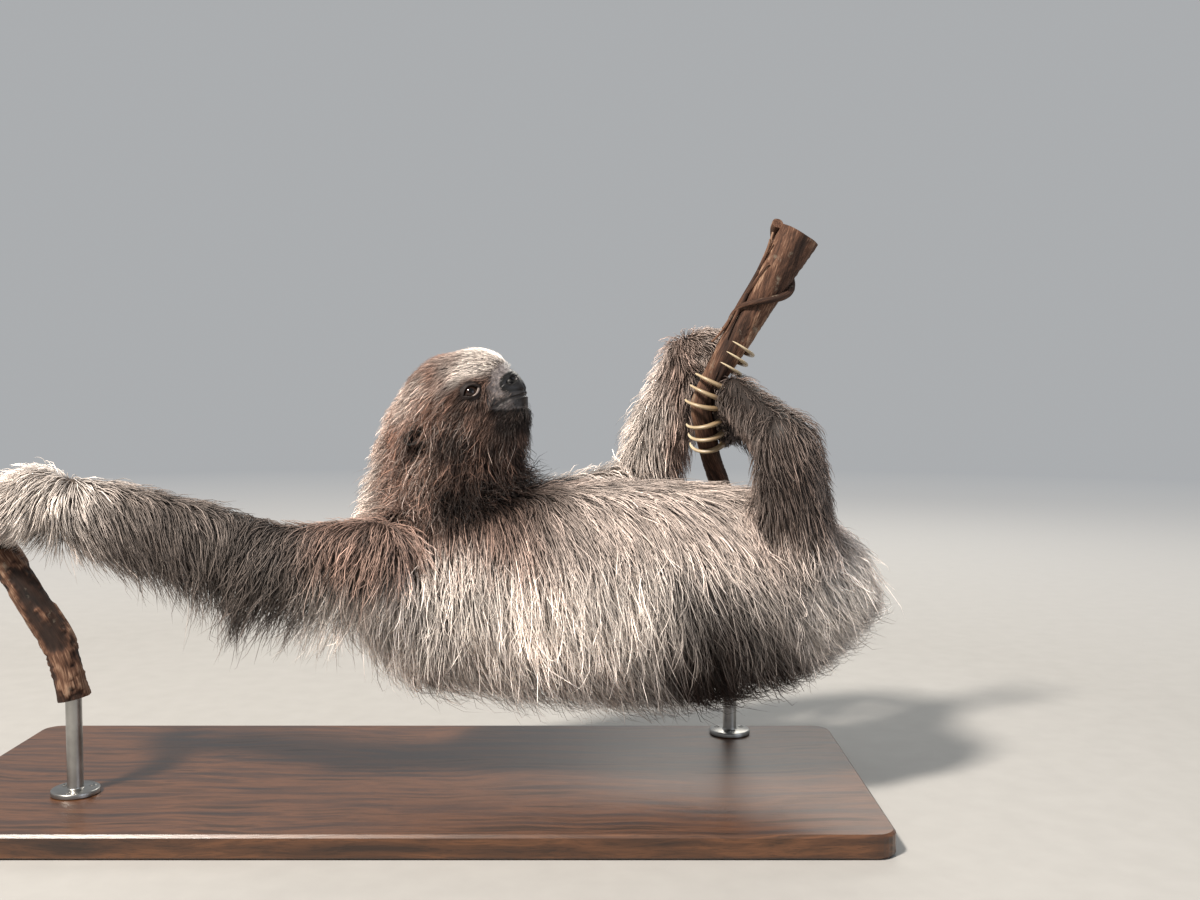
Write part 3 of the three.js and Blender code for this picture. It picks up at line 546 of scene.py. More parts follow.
# How wide a fillet fills the creases within a limb, and where it joins the rest of the body.
melt_coat = {"trunk": 24, "tail": 8, "neck": 20, "head": 14, "arm_right": 14, "arm_left": 12, "leg_right": 12,
             "leg_left": 12}
melt_flesh = {"trunk": 3, "tail": 8, "neck": 20, "head": 12, "arm_right": 3, "arm_left": 3, "leg_right": 3,
              "leg_left": 3}
melt_onto = {"tail": 8, "neck": 22, "head": 16, "arm_right": 16, "arm_left": 14, "leg_right": 12, "leg_left": 12}

# Each paw grips its branch at a share of its length. side is the way from the branch to the palm, and
# the claws start at one angle from it and go round the branch by another. The radii are in millimetres.
grip_facts = (
    "line", "radii", "share", "side", "start", "sweep", "limb", "wrist", "palm", "wrist_coat", "wrist_flesh")
grips = {
    "hand_right": (left_line, left_radii, 0.315, (0.62, -0.74, 0.27), 28, 195,
                   "arm_right", (-272, -59, 250), 21, 31, 16),
    "hand_left": (right_line, right_radii, 0.335, (-0.5, 0.79, 0.35), 28, 200,
                  "arm_left", (222, 64, 357), 16, 23, 13.5),
    "foot_right": (right_line, right_radii, 0.44, (0.86, 0.42, 0.2), 30, 190,
                   "leg_right", (261, 8, 324), 14.5, 18, 12.5),
    "foot_left": (right_line, right_radii, 0.54, (0.8, 0.55, 0.2), 30, 185,
                  "leg_left", (270, 52, 300), 14.5, 17, 12)}
grips = {paw: dict(zip(grip_facts, facts)) for paw, facts in grips.items()}
claw_count = 3
claw_spacing = 9.5 * mm
claw_root = 3.5 * mm  # half its depth where it leaves the finger, and at its tip
claw_tip = 0.7 * mm
claw_clearance = 1.4 * mm


def grip_frame(grip, shift=0.0):
    """The middle of the branch at a grip, or shifted along it, the way along, the way to the palm, the third way
    and the radius."""
    share = grip["share"] + shift / travel(grip["line"])[-1]
    middle, axis = along(grip["line"], share)
    side = np.array(grip["side"])
    side = unit(side - axis * (side @ axis))
    return middle, axis, side, np.cross(axis, side), radius_at(grip["radii"], share)


def claw_frame(grip, number):
    """The same where one claw goes round the branch."""
    return grip_frame(grip, (number - (claw_count - 1) / 2) * claw_spacing)


def claw_line(grip, number, shares):
    """Points along the middle of a claw, round the branch."""
    middle, _, side, across, radius = claw_frame(grip, number)
    angle = np.radians(grip["start"] + shares * grip["sweep"])[:, None]
    out = radius + claw_root + claw_clearance + 1.5 * mm * np.sin(math.pi * np.clip(shares, 0, 1))[:, None]
    return middle + out * (np.cos(angle) * side + np.sin(angle) * across)


# A palm lies on the branch beyond each wrist, and a short finger runs from it to each claw.
for paw, grip in grips.items():
    middle, _, side, _, radius = grip_frame(grip)
    palm = (middle + side * (radius + 0.72 * grip["palm"] * mm)) / mm
    hand_lay = unit(palm - np.array(grip["wrist"])) + 0.4 * down
    body.append(length(
        grip["limb"], paw, grip["wrist"], palm, (grip["wrist_coat"], grip["palm"]),
        (grip["wrist_flesh"], 0.74 * grip["palm"]), lay=(hand_lay, hand_lay), hair=(6, 0.8)))
    for number in range(claw_count):
        finger = claw_line(grip, number, np.array((-0.1, 0.1))) / mm
        body.append(length(
            grip["limb"], paw, finger[0], finger[1], (7.4, 6.2), (6.2, 4.8),
            lay=(finger[1] - finger[0], finger[1] - finger[0]), hair=(4, 0.8)))


def round_cone(points, start, end, start_radius, end_radius, wide):
    """The distance to two balls and the cone round them, and the share of the way between the balls."""
    squeeze = np.array((1, 1 / wide, 1))
    away, axis = (points - start) * squeeze, (end - start) * squeeze
    long = np.linalg.norm(axis)
    forth = away @ axis / long
    aside = np.sqrt(np.maximum((away ** 2).sum(-1) - forth ** 2, 0))
    lean = (start_radius - end_radius) / long
    share = np.clip((forth - aside * lean / math.sqrt(1 - lean ** 2)) / long, 0, 1)
    radius = start_radius + (end_radius - start_radius) * share
    return (np.hypot(aside, forth - share * long) - radius) * min(1, wide), share


def melted(a, b, width):
    """The nearer of two distances, with a fillet where they meet."""
    near = np.maximum(width - np.abs(a - b), 0) / width
    return np.minimum(a, b) - near * near * width / 4


def body_distance(points, kind, lengths=None):
    """The distance to the flesh or to the outline of the coat."""
    limbs = {}
    melt = melt_flesh if kind == "flesh" else melt_coat
    for part in lengths or body:
        far = round_cone(points, *part[kind])[0]
        limb = part["limb"]
        limbs[limb] = melted(limbs[limb], far, melt[limb] * mm) if limb in limbs else far
    total = None
    for limb, far in limbs.items():
        total = far if total is None else melted(total, far, melt_onto[limb] * mm)
    return total


def slope(distance, points, reach=0.4 * mm):
    """The way out of a surface, from four nearby distances."""
    total = 0
    for sign in ((1, -1, -1), (-1, -1, 1), (-1, 1, -1), (1, 1, 1)):
        way = np.array(sign, float)
        total = total + distance(points + way * reach)[:, None] * way
    return unit(total)


def seat(box):
    """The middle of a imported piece's box, and the way out of the coat there."""
    low, high = (np.array(corner) for corner in box)
    middle = (low + high) / 2
    return middle, slope(lambda p: body_distance(p, "coat"), middle[None])[0]


# The eyes look out sideways and a little ahead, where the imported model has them, under lids a millimetre thick.
eye_radius = 6.5 * mm
eye_sunk = 1.2 * mm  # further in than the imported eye
lid_thickness = 0.9 * mm
lid_half = 6.2  # half the opening's length and height, in millimetres
lid_height = 3.7
lid_tilt = math.radians(12)
eyes = {}
for side in ("right", "left"):
    middle, look = seat(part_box(f"eye_{side}"))
    middle = middle - eye_sunk * look
    eyes[side] = {"middle": middle, "look": look}
    lid = (eye_radius + lid_thickness) / mm
    body.append(length(
        "head", "face", (middle - 3 * mm * look) / mm, middle / mm, (lid + 0.6, lid + 0.6), (lid, lid),
        lay=(back, back), hair=(2.0, 1.3)))


def eye_axes(eye):
    """The ways across an eye: towards the nose, and up."""
    out = eye["look"]
    fore = unit(forward - out * (forward @ out))
    above = np.cross(fore, out)
    return fore, above * np.sign(above @ upward)


def eye_place(points, eye):
    """Millimetres from an eye's middle: towards the nose along the lids, up across them, and outward."""
    fore, above = eye_axes(eye)
    fore, above = (
        math.cos(lid_tilt) * fore + math.sin(lid_tilt) * above,
        math.cos(lid_tilt) * above - math.sin(lid_tilt) * fore)
    away = (points - eye["middle"]) / mm
    return away @ fore, away @ above, away @ eye["look"]


def lid_gap(a):
    """Half the height of the opening between the lids, at this distance along it."""
    return lid_height * np.clip(1 - (a / lid_half) ** 2, 0, 1) ** 0.75


def step(value, start, end):
    """A soft step from 0 to 1."""
    share = np.clip((value - start) / (end - start), 0, 1)
    return share * share * (3 - 2 * share)


# The features of the face, in millimetres ahead, up and to the side from the tip of the nose.
mouth_corner = -33.0
lip_half = 2.6  # half the height of the swelling along the mouth
lip_swell, pad_swell, brow_swell = 0.7, 0.9, 1.2
mouth_depth, lip_cleft_depth = 1.25, 0.7
pad_up, pad_half_height, pad_half_width = 6.5, 9.5, 18.5
nostril = np.array(((-4.4, 8.2, 5.6), (-7.6, 6.4, 10.6)))  # each slants back from its inner end
nostril_radius = 2.1
crease_depth, bag_depth = 0.75, 0.5  # of the folds above and below the lids


def mouth_height(ahead):
    """How high the line between the lips lies, from the front of the mouth to its corner."""
    return -5.6 - 1.2 * step(ahead, -12, -2) - 1.6 * step(-ahead, 18, 31)


def pad_share(ahead, up, side):
    """1 on the nose pad and 0 off it."""
    reach = np.hypot((up - pad_up) / pad_half_height, side / pad_half_width)
    return (1 - step(reach, 0.8, 1.05)) * step(ahead, -17, -11)


def face_distance(points):
    """The flesh of the head with its face worked in, in metres."""
    far = body_distance(points, "flesh", head_lengths) / mm
    ahead, up, side = in_head(points).T
    aside = np.abs(side)
    # The lips, the nose pad and the brows swell out.
    rim = np.exp(-(((up - mouth_height(ahead)) / lip_half) ** 2)) * step(ahead, mouth_corner - 2, mouth_corner + 8)
    far = far - lip_swell * rim - pad_swell * pad_share(ahead, up, side)
    far = far - brow_swell * np.exp(-(((up - 15) / 7) ** 2 + ((aside - 30) / 9) ** 2 + ((ahead + 34) / 12) ** 2))
    # The mouth is a groove, the upper lip is cleft below the nose, and the nostrils are pits.
    line = np.hypot(up - mouth_height(ahead), far)
    depth = mouth_depth * step(ahead, mouth_corner - 1, mouth_corner + 5)
    far = -melted(-far, line - depth, 0.9)
    lip = np.hypot(side, far)
    far = -melted(-far, lip - lip_cleft_depth * step(-up, -4, -1) * step(up, -7.5, -6), 0.6)
    pit_at = np.stack([ahead, up, aside], 1)
    start, end = nostril
    share = np.clip((pit_at - start) @ (end - start) / ((end - start) @ (end - start)), 0, 1)[:, None]
    pit = np.linalg.norm((pit_at - start - share * (end - start)) * (0.6, 1, 1), axis=1)
    far = -melted(-far, pit - nostril_radius, 1.6)
    for eye in eyes.values():
        a, b, _ = eye_place(points, eye)
        crease = np.hypot(b - lid_gap(a * 0.8) - 2.1, far) - crease_depth * step(-np.abs(a), -7.5, -4)
        far = -melted(-far, crease, 0.7)
        bag = np.hypot(b + lid_gap(a * 0.8) + 2.4, far) - bag_depth * step(-np.abs(a), -7, -4)
        far = -melted(-far, bag, 0.8)
    return far * mm


head_lengths = [part for part in body if part["limb"] in ("head", "neck", "trunk")]
skin_cell = 3 * mm
block = 3  # fine cells to a coarse one, along each axis
skin_low, skin_high = np.array((-0.335, -0.14, 0.09)), np.array((0.39, 0.15, 0.40))


def skin_mesh():
    """Quads over the flesh, a cell across, from a grid of distances that is fine only near the surface."""
    coarse_shape = np.ceil((skin_high - skin_low) / (skin_cell * block)).astype(int)
    spots = np.moveaxis(np.indices(coarse_shape), 0, -1)
    # The grid starts out coarse, and only blocks that may hold the surface are measured cell by cell.
    fine = body_distance(skin_low + (spots.reshape(-1, 3) * block + 1) * skin_cell, "flesh").reshape(coarse_shape)
    for axis in range(3):
        fine = np.repeat(fine, block, axis)
    near = np.nonzero(np.abs(fine) < 4 * block * skin_cell * 0.6)
    fine[near] = body_distance(skin_low + np.stack(near, 1) * skin_cell, "flesh")
    grid = openvdb.FloatGrid(float(skin_cell * 40))
    grid.copyFromArray(fine.astype(np.float32))
    points, quads = grid.convertToQuads(isovalue=0)
    return skin_low + points * skin_cell, quads


points, quads = skin_mesh()
shell = bmesh.new()
corners = [shell.verts.new(p) for p in points]
for quad in quads:
    shell.faces.new([corners[i] for i in quad])


def finer(shell, wanted):
    """Halves the size of the faces whose corners are all in the wanted place."""
    shell.verts.index_update()
    inside = wanted(np.array([v.co for v in shell.verts]))
    chosen = [e for e in shell.edges if inside[e.verts[0].index] and inside[e.verts[1].index]]
    bmesh.ops.subdivide_edges(shell, edges=chosen, cuts=1, use_grid_fill=True)


def on_head(points):
    ahead, up, side = in_head(points).T
    return (ahead > -105) & (np.abs(up) < 62) & (np.abs(side) < 62)


def on_face(points):
    ahead, up, side = in_head(points).T
    return (ahead > -60) & (up > -34) & (up < 48) & (np.abs(side) < 48)


def on_features(points):
    """Round the eyes, along the mouth and on the nose pad."""
    ahead, up, side = in_head(points).T
    found = (ahead > mouth_corner - 4) & (np.abs(up - mouth_height(ahead)) < 4)
    found |= (ahead > -16) & (up > -4) & (up < 18) & (np.abs(side) < 20)
    for eye in eyes.values():
        found |= np.linalg.norm(points - eye["middle"], axis=1) < 13 * mm
    return found


for wanted in (on_head, on_face, on_features):
    finer(shell, wanted)
skin_data = bpy.data.meshes.new("skin")
shell.to_mesh(skin_data)
shell.free()
points = np.empty(len(skin_data.vertices) * 3, np.float32)
skin_data.vertices.foreach_get("co", points)
points = points.reshape(-1, 3).astype(float)
worked = on_head(points) & (in_head(points)[:, 0] > -95)
for _ in range(5):
    for part, distance in ((~worked, lambda p: body_distance(p, "flesh")), (worked, face_distance)):
        p = points[part]
        points[part] = p - slope(distance, p, 0.2 * mm) * distance(p)[:, None]
for eye in eyes.values():
    # Between the lids the skin drops behind the eyeball.
    a, b, c = eye_place(points, eye)
    open_here = step(lid_gap(a) - np.abs(b), -0.25, 0.25) * (c > 0) * (c < 10) * (np.abs(a) < lid_half + 1)
    points -= eye["look"] * (open_here * (c - 1.2) * mm)[:, None]
skin_data.vertices.foreach_set("co", points.astype(np.float32).ravel())
skin_data.shade_smooth()


def bell(value, middle, width):
    return np.exp(-(((value - middle) / width) ** 2))


def nearest_lengths(points):
    """The distance to the flesh of each length, as rows."""
    return np.stack([round_cone(points, *part["flesh"])[0] for part in body])


# The ears open sideways and a little ahead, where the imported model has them.
ears = {}
for side in ("right", "left"):
    middle, out_way = seat(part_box(f"ear_{side}"))
    ears[side] = {"middle": middle, "look": unit(out_way + 0.25 * forward)}


def markings(points):
    """How pale, how rufous and how dark the animal is at these places, from 0 to 1 each."""
    x, _, z = (points / mm).T
    ahead, up, side = in_head(points).T
    aside = np.abs(side)
    near = np.exp(-np.maximum(nearest_lengths(points), -2 * mm) / (7 * mm))
    near = near / near.sum(0)
    slow, quick = blotches(points, 34 * mm, 21), blotches(points, 11 * mm, 22)
    marks = np.zeros((3, len(points)))

    def on(*limbs):
        return sum(near[i] for i, part in enumerate(body) if part["limb"] in limbs)

    def mark(where, pale=0, warm=0, dark=0):
        for row, amount in enumerate((pale, warm, dark)):
            marks[row] += where * amount

    # The side is pale below a broken edge. Above it the chest is rufous as far back as the ribs.
    trunk = on("trunk", "tail")
    edge = z + 14 * slow + 5 * quick
    flank = (1 - step(edge, 190, 228)) * step(x + 10 * slow, -75, -25) * (1 - 0.7 * step(x + 18 * slow, 150, 250))
    top = step(edge, 190, 222) * step(x + 12 * slow, 90, 150) * (1 - step(x, 230, 285))
    rufous = 0.82 * step(edge, 192, 218) * (1 - step(x + 12 * slow, 66, 128)) + 0.22 * step(edge, 190, 215)
    mark(trunk, 0.3 + 0.78 * flank + 0.12 * quick * flank + 0.08 * top, rufous, 0.12 * step(-quick, 0.2, 0.8))
    # The rump is pale, with a rufous patch on top.
    mark(trunk, 0.5 * step(x, 270, 315), 0.85 * bell(x, 305, 26) * step(edge, 186, 212))
    # The loin darkens before the hips, and so do the lowest part of the back and the foot of the throat.
    # The first two are partly the coat's own colour and partly painted shade; the foot of the throat is a painted
    # shadow cast by the head.
    mark(trunk, dark=0.88 * bell(x, 228, 50) * (1 - step(edge, 176, 216)))
    mark(trunk, dark=0.74 * (1 - step(z, 104, 168)) + 0.25 * step(x, 240, 280) * (1 - step(z, 160, 200)))
    # Painted shadow of the head at the foot of the throat.
    mark(trunk, dark=0.95 * bell(x, 72, 40) * step(z, 224, 240))
    # The near arm: rufous on the shoulder and pale below it, brown at the elbow, and pale round the wrist.
    # The brown over the elbow and the upper arm is partly painted shade.
    arm = on("arm_right")
    wrist = bell(x + 6 * quick, -252, 30) * step(z + 6 * quick, 222, 250)
    mark(arm, 0.62 * step(x + 8 * slow, -78, -40) * (1 - step(edge, 186, 208)),
         0.7 * step(x, -92, -40) * step(edge, 190, 214), 0.6 * bell(x, -170, 58) + 0.55 * bell(x, -98, 32))
    mark(arm, 0.16 + 0.7 * wrist + 0.32 * step(-x, 258, 278) + 0.26 * bell(x, -235, 26) * (1 - step(z, 176, 200)),
         0.16 * step(-x, 262, 285))
    # The far arm: pale inside, with a rufous line behind. The pale is partly painted sunlight on its lit side.
    arm = on("arm_left")
    mark(arm, 0.25 + 0.45 * (1 - step(x + 8 * quick, 196, 222)) * step(z, 215, 250),
         0.2 + 0.55 * bell(x + 6 * quick, 214, 13) * step(z, 220, 260))
    # The legs: brown, and paler where they leave the body. The dark over their upper parts is partly painted shade.
    legs = on("leg_right", "leg_left")
    mark(legs, 0.16 + 0.1 * quick + 0.4 * (1 - step(z, 205, 235)), 0.28, 0.62 * step(z, 205, 240))
    # The neck: a pale nape, rufous brown sides, and a throat that is nearly black, partly dark fur and partly
    # a painted shadow cast by the head.
    neck = on("neck")
    nape = 1 - step(x + 5 * quick, -26, -8)
    throat_and_head_shadow = 0.9 * step(x + 4 * quick, 14, 36) * (1 - 0.35 * step(z + 4 * quick, 256, 284))
    mark(neck, 0.6 * nape, (0.45 + 0.2 * slow) * (1 - 0.7 * nape), 0.3 * step(x, -8, 20) + throat_and_head_shadow)
    # The head: a cream band over the brows, a streaked brown crown, and rufous cheeks with an ochre stain.
    face = on("head")
    band = step(ahead + 3 * quick - 0.6 * np.clip(up - 22, 0, 20), -47, -33) * step(up + 2 * quick, 15, 24)
    crown = step(up, 4, 26) * step(-ahead, 34, 48)
    mark(face, band + 0.36 * (1 - band) * step(up, 12, 24) + crown * (0.02 + 0.34 * quick - 0.35 * step(up, 38, 52)),
         (0.7 * crown + 0.5 * (1 - crown)) * (1 - band), 0.3 * crown * (1 - band) * bell(quick, 0.5, 0.4))
    mark(face, 0.35 * step(-ahead, 96, 120))
    mark(face * bell(ahead, -78, 13) * bell(up, 12, 10), 0.12, 0.4)
    # A dark stripe runs back and down from the eye, and dark patches lie on the crown, the cheek and the jaw.
    # The patches on the cheek and the jaw are partly painted shade under the face.
    stripe = np.exp(-((np.abs((ahead + 38) * 0.59 - (up - 6) * 0.81) / 6.5) ** 2))
    mark(face * step(aside, 16, 26), dark=0.5 * stripe * step(-ahead, 34, 40) * (1 - step(-ahead, 58, 76)))
    mark(face * bell(ahead, -68, 14) * step(up, 34, 46), dark=0.35)
    mark(face * bell(ahead, -57, 9) * bell(up, -14, 12) * step(aside, 14, 26), dark=0.6)
    mark(face * (1 - step(up + 2 * quick, -12, 6)) * (1 - step(-ahead, 62, 92)) * step(quick, -0.6, 0.3), dark=0.55)
    # So are the chin, the corner of the mouth and the side of the muzzle.
    mark(face * step(ahead, -32, -18) * (1 - step(up, -6, 0)) * step(up, -29, -21), dark=0.95)
    mark(face * bell(ahead, -35, 5) * bell(up, -9, 4.5), dark=0.7)
    mark(face * step(ahead, -40, -28) * (1 - step(up, 2, 10)), dark=0.3)
    # Dark fur lies round the ears as painted shade of their hollows, and round the eyes as a dark mask
    # deepened by painted shade of the eye socket.
    for ear in ears.values():
        away = (points - ear["middle"]) / mm
        mark(face * np.exp(-((np.hypot((away @ forward - 2) / 1.5, away @ upward + 2.5) / 6.5) ** 2)), dark=1)
    for eye in eyes.values():
        a, b, _ = eye_place(points, eye)
        mark(face * np.exp(-((np.hypot(a / 1.3, b) / 8.5) ** 2)), -0.3, 0, 0.6)
    # The down on the muzzle is grey.
    mark(face * bare_share(points) * step(up, -6, 0), 0.12, -0.45, -0.3)
    return np.clip(marks.T, 0, 1)


def bare_share(points):
    """1 on the naked skin of the muzzle, with a broken edge, and 0 under the fur."""
    ahead, up, side = in_head(points).T
    edge = np.interp(up, (-19, -15, -12, -6, 0, 6, 12, 18, 23, 28), (3, -8, -18, -28, -27, -23, -20, -16, -11, -3))
    edge = edge + 2.5 * blotches(points, 4 * mm, 31)
    return step(ahead, edge - 4, edge + 4) * (ahead < 8) * (np.abs(side) < 40) * (up > -19)


def coat_colour(tree):
    """The colour of the fur from the markings carried by skin and coat alike."""
    marks = add_node(tree, "Attribute", attribute_name="marks").outputs["Vector"]
    pale, warm, dark = add_node(tree, "SeparateXYZ", {0: marks}).outputs
    tone = add_node(tree, "RGB").outputs[0]
    tone.default_value = colour("#8b7e76")
    for share, shade in ((warm, "#8c5a40"), (pale, "#f1e8e0"), (dark, "#261b16")):
        tone = add_node(tree, "Mix", {0: share, 6: tone, 7: colour(shade)}, data_type="RGBA")
    return tone


# Sloth skin: grey brown leather with the dark roots of the fur over it, naked and grey on the muzzle, and black,
# wet and pebbled on the nose pad. The lower lids are rimmed paler with a painted highlight.
pebble = 0.55 * mm
root_width = 0.5 * mm
sloth_skin, tree = new_material("sloth_skin")
place = add_node(tree, "NewGeometry").outputs["Position"]
bare, pad, rim, pit = (
    add_node(tree, "Attribute", attribute_name=name).outputs["Fac"] for name in ("bare", "pad", "rim", "pit"))
roots = add_node(tree, "TexNoise", {"Vector": place, "Scale": 1 / root_width, "Detail": 3.0, "Roughness": 0.6})
pebbles = add_node(tree, "TexVoronoi", {"Vector": place, "Scale": 1 / pebble, "Randomness": 0.8})
clouds = add_node(tree, "TexNoise", {"Vector": place, "Scale": 260.0, "Detail": 4.0})
under = add_node(tree, "ValToRGB", {"Fac": roots}, [(0.35, "#29231f"), (0.65, "#6d635b")])
furred = add_node(
    tree, "Mix", {0: 1.0, 6: coat_colour(tree), 7: under}, data_type="RGBA", blend_type="MULTIPLY")
muzzle = add_node(tree, "ValToRGB", {"Fac": clouds}, [(0.3, "#706866"), (0.5, "#938b8a"), (0.68, "#b1a8a7")])
dark_pad = add_node(tree, "ValToRGB", {"Fac": clouds}, [(0.3, "#0b0a0a"), (0.7, "#1d1b1b")])
tone = add_node(tree, "Mix", {0: bare, 6: furred, 7: muzzle}, data_type="RGBA")
# Dark lid skin with painted socket shade, turning to a painted highlight on the pale rim.
lid_shade_and_highlight = add_node(tree, "ValToRGB", {"Fac": rim}, [(0.0, "#1c1310"), (0.6, "#1c1310"), (0.9, "#9c8e86")])
lidded = add_node(tree, "MapRange", {"Value": rim, "From Max": 0.5})
tone = add_node(tree, "Mix", {0: lidded, 6: tone, 7: lid_shade_and_highlight}, data_type="RGBA")
tone = add_node(tree, "Mix", {0: pad, 6: tone, 7: dark_pad}, data_type="RGBA")
# Painted shade: the nostril pits are painted near black, for the dark inside of the holes.
tone = add_node(tree, "Mix", {0: pit, 6: tone, 7: colour("#020202")}, data_type="RGBA")
wet = add_node(tree, "MapRange", {"Value": pad, "To Min": 0.62, "To Max": 0.3})
wet = add_node(tree, "Mix", {0: pit, 2: wet, 3: 1.0})
height = add_node(tree, "Mix", {0: bare, 2: roots, 3: pebbles.outputs["Distance"]})
relief = add_node(tree, "Bump", {"Height": height, "Strength": 0.45, "Distance": 0.25 * mm})
shader = add_node(tree, "BsdfPrincipled", {
    "Base Color": tone, "Roughness": wet, "Normal": relief, "IOR": 1.42})
add_node(tree, "OutputMaterial", {0: shader})

skin = placed("skin", skin_data)
ahead, up, side = in_head(points).T
# The lids are dark all round, partly their own dark skin and partly painted shade of the eye socket,
# and the front half of the lower one has a pale rim that is a painted wet highlight.
rim = 0
for eye in eyes.values():
    a, b, c = eye_place(points, eye)
    dark_lids_and_socket_shade = step(-np.hypot((a - 0.5) / 10.5, b / 7.8), -1.15, -0.8) * (c > -5)
    lid_rim_highlight = step(-np.hypot(a / 7.1, (b + 0.3) / 4.4), -1.08, -0.97) * step(-b, 0.6, 1.6) * step(a, -3, 1)
    rim = rim + dark_lids_and_socket_shade * (0.5 + 0.5 * lid_rim_highlight)
# The bare skin darkens from the grey behind the nose to the black lips, and the lower lip has a greyer edge
# that is a painted highlight.
lips = step(ahead, -25, -10) * (0.55 + 0.45 * step(-up, -12, -3))
along_mouth = step(ahead, mouth_corner - 6, mouth_corner + 8)
lips = np.maximum(lips, 0.4 * step(-up, -9, -1) + 0.5 * step(-up, -1.5, 3) * along_mouth)
lip_highlight = bell(up, -9.0, 1.1) * step(ahead, -31, -24) * (1 - step(ahead, -16, -10))
lips = lips * (1 - 0.45 * lip_highlight)
# Where the painted shade inside the nostrils lies.
nostril_shade = step(-np.linalg.norm(np.stack([ahead, up, np.abs(side)], 1) - nostril.mean(0), axis=1), -3.6, -2.8)
bare = bare_share(points)
store(
    skin_data, marks=markings(points), bare=bare, pit=nostril_shade,
    pad=np.clip(pad_share(ahead, up, side) + 0.96 * lips * bare, 0, 1), rim=np.clip(rim, 0, 1))
wear(skin, sloth_skin)
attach(skin, "root")
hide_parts(*[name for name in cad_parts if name.split("_")[0] in (
    "head", "muzzle", "neck", "trunk", "tail", "upper", "forearm", "hand", "thigh", "shank", "foot")])

# ---- eyes ---------------------------------------------------------------------------------------
# A sloth's eye is small and dark, with a clear front that bulges a little and is always wet.
# Museum eyes are blown glass, set into the lids from behind.


def aimed(rings, middle, way, up=(0, 0, 1)):
    """Rings of a lathe shape with its axis turned along a way, its Y towards up, moved to a place."""
    third = np.cross(up, way)
    axes = np.array((unit(third), unit(np.cross(way, third)), way))
    return np.asarray(rings) @ axes + middle


# Glass over a painted iris: near black pupil, dark brown iris, brown white of the eye, all under a clear gloss.
glass_eye, tree = new_material("glass_eye")
turned_from = add_node(tree, "Attribute", attribute_name="degrees").outputs["Fac"]
place = add_node(tree, "NewGeometry").outputs["Position"]
grainy = add_node(tree, "TexNoise", {"Vector": place, "Scale": 900.0, "Detail": 3.0})
wavering = add_node(tree, "Math", {0: grainy, 1: 5.0, 2: turned_from}, operation="MULTIPLY_ADD")
share = add_node(tree, "MapRange", {"Value": wavering, "From Max": 90.0})
paint = add_node(
    tree, "ValToRGB", {"Fac": share},
    [(0.17, "#030202"), (0.22, "#140b08"), (0.4, "#261811"), (0.47, "#0b0705"), (0.58, "#2e231d")])
shader = add_node(tree, "BsdfPrincipled", {"Base Color": paint, "Roughness": 0.04, "IOR": 1.38})
add_node(tree, "OutputMaterial", {0: shader})

cornea_degrees = 42
eye_rings, eye_sides = 60, 56
for side, eye in eyes.items():
    angle = np.radians(np.linspace(179.5, 0.5, eye_rings))
    bulge = 0.55 * mm * np.clip(1 - (np.degrees(angle) / cornea_degrees) ** 2, 0, 1)
    profile = np.stack([(eye_radius + bulge) * np.sin(angle), (eye_radius + bulge) * np.cos(angle)], 1)
    vertices, walls, caps = skinned(aimed(turned(profile, eye_sides), eye["middle"], eye["look"]))
    degrees = np.concatenate([np.repeat(np.degrees(angle), eye_sides), (180, 0)])
    ball = new_piece(f"eye_{side}_glass", vertices, [walls, caps], degrees=degrees)
    wear(ball, glass_eye)
    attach(ball, "root")
    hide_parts(f"eye_{side}")

# ---- ears ---------------------------------------------------------------------------------------
# Each ear is a low cup of thin dark skin, nearly lost in the fur, with a rolled rim.
# It grows from the side of the skull, and the hair parts round its hollow.

ear_profile = np.array([
    (0.3, -12), (3.6, -11), (4.2, -8), (4.9, -4), (5.6, -1.2), (6.0, 0.2), (6.0, 0.8), (5.6, 1.2), (5.1, 0.9),
    (4.5, -0.4), (3.5, -2.6), (2.1, -4.2), (0.9, -5.2), (0.3, -5.4)]) * mm
ear_long = 1.4  # length of the cup from front to back for its height
ear_sides = 40

# Thin bare skin, matt and wrinkled, dark outside, and nearly black in the hollow as painted shade.
ear_leather, tree = new_material("ear_skin")
place = add_node(tree, "NewGeometry").outputs["Position"]
hollow_shade = add_node(tree, "Attribute", attribute_name="depth").outputs["Fac"]
wrinkles = add_node(tree, "TexNoise", {"Vector": place, "Scale": 450.0, "Detail": 4.0})
mixed = add_node(tree, "Math", {0: wrinkles, 1: 0.3, 2: hollow_shade}, operation="MULTIPLY_ADD")
tint = add_node(tree, "ValToRGB", {"Fac": mixed}, [(0.1, "#030202"), (0.75, "#0d0805"), (1.0, "#140d08")])
relief = add_node(tree, "Bump", {"Height": wrinkles, "Strength": 0.5, "Distance": 0.4 * mm})
shader = add_node(tree, "BsdfPrincipled", {"Base Color": tint, "Roughness": 0.7, "Normal": relief})
add_node(tree, "OutputMaterial", {0: shader})

for side, ear in ears.items():
    middle, out_way = ear["middle"], ear["look"]
    rings = turned(ear_profile, ear_sides)
    rings[..., 0] *= ear_long
    rings = rings + blotches(rings, 5 * mm, 11)[..., None] * np.array((0.5, 0.5, 0.9)) * mm
    vertices, walls, caps = skinned(aimed(rings, middle - 10 * mm * out_way, out_way, upward))
    # 1 on the outside of the cup, falling to 0 deep in the hollow, where the painted shade is darkest.
    hollow = np.repeat(np.interp(np.arange(len(ear_profile)), (6, 8, 13), (1, 0.8, 0)), ear_sides)
    cup = new_piece(f"ear_{side}_cup", vertices, [walls, caps], depth=np.concatenate([hollow, (1, 0)]))
    smoother = cup.modifiers.new("smoother", "SUBSURF")
    smoother.levels = smoother.render_levels = 1
    wear(cup, ear_leather)
    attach(cup, "root")
    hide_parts(f"ear_{side}")

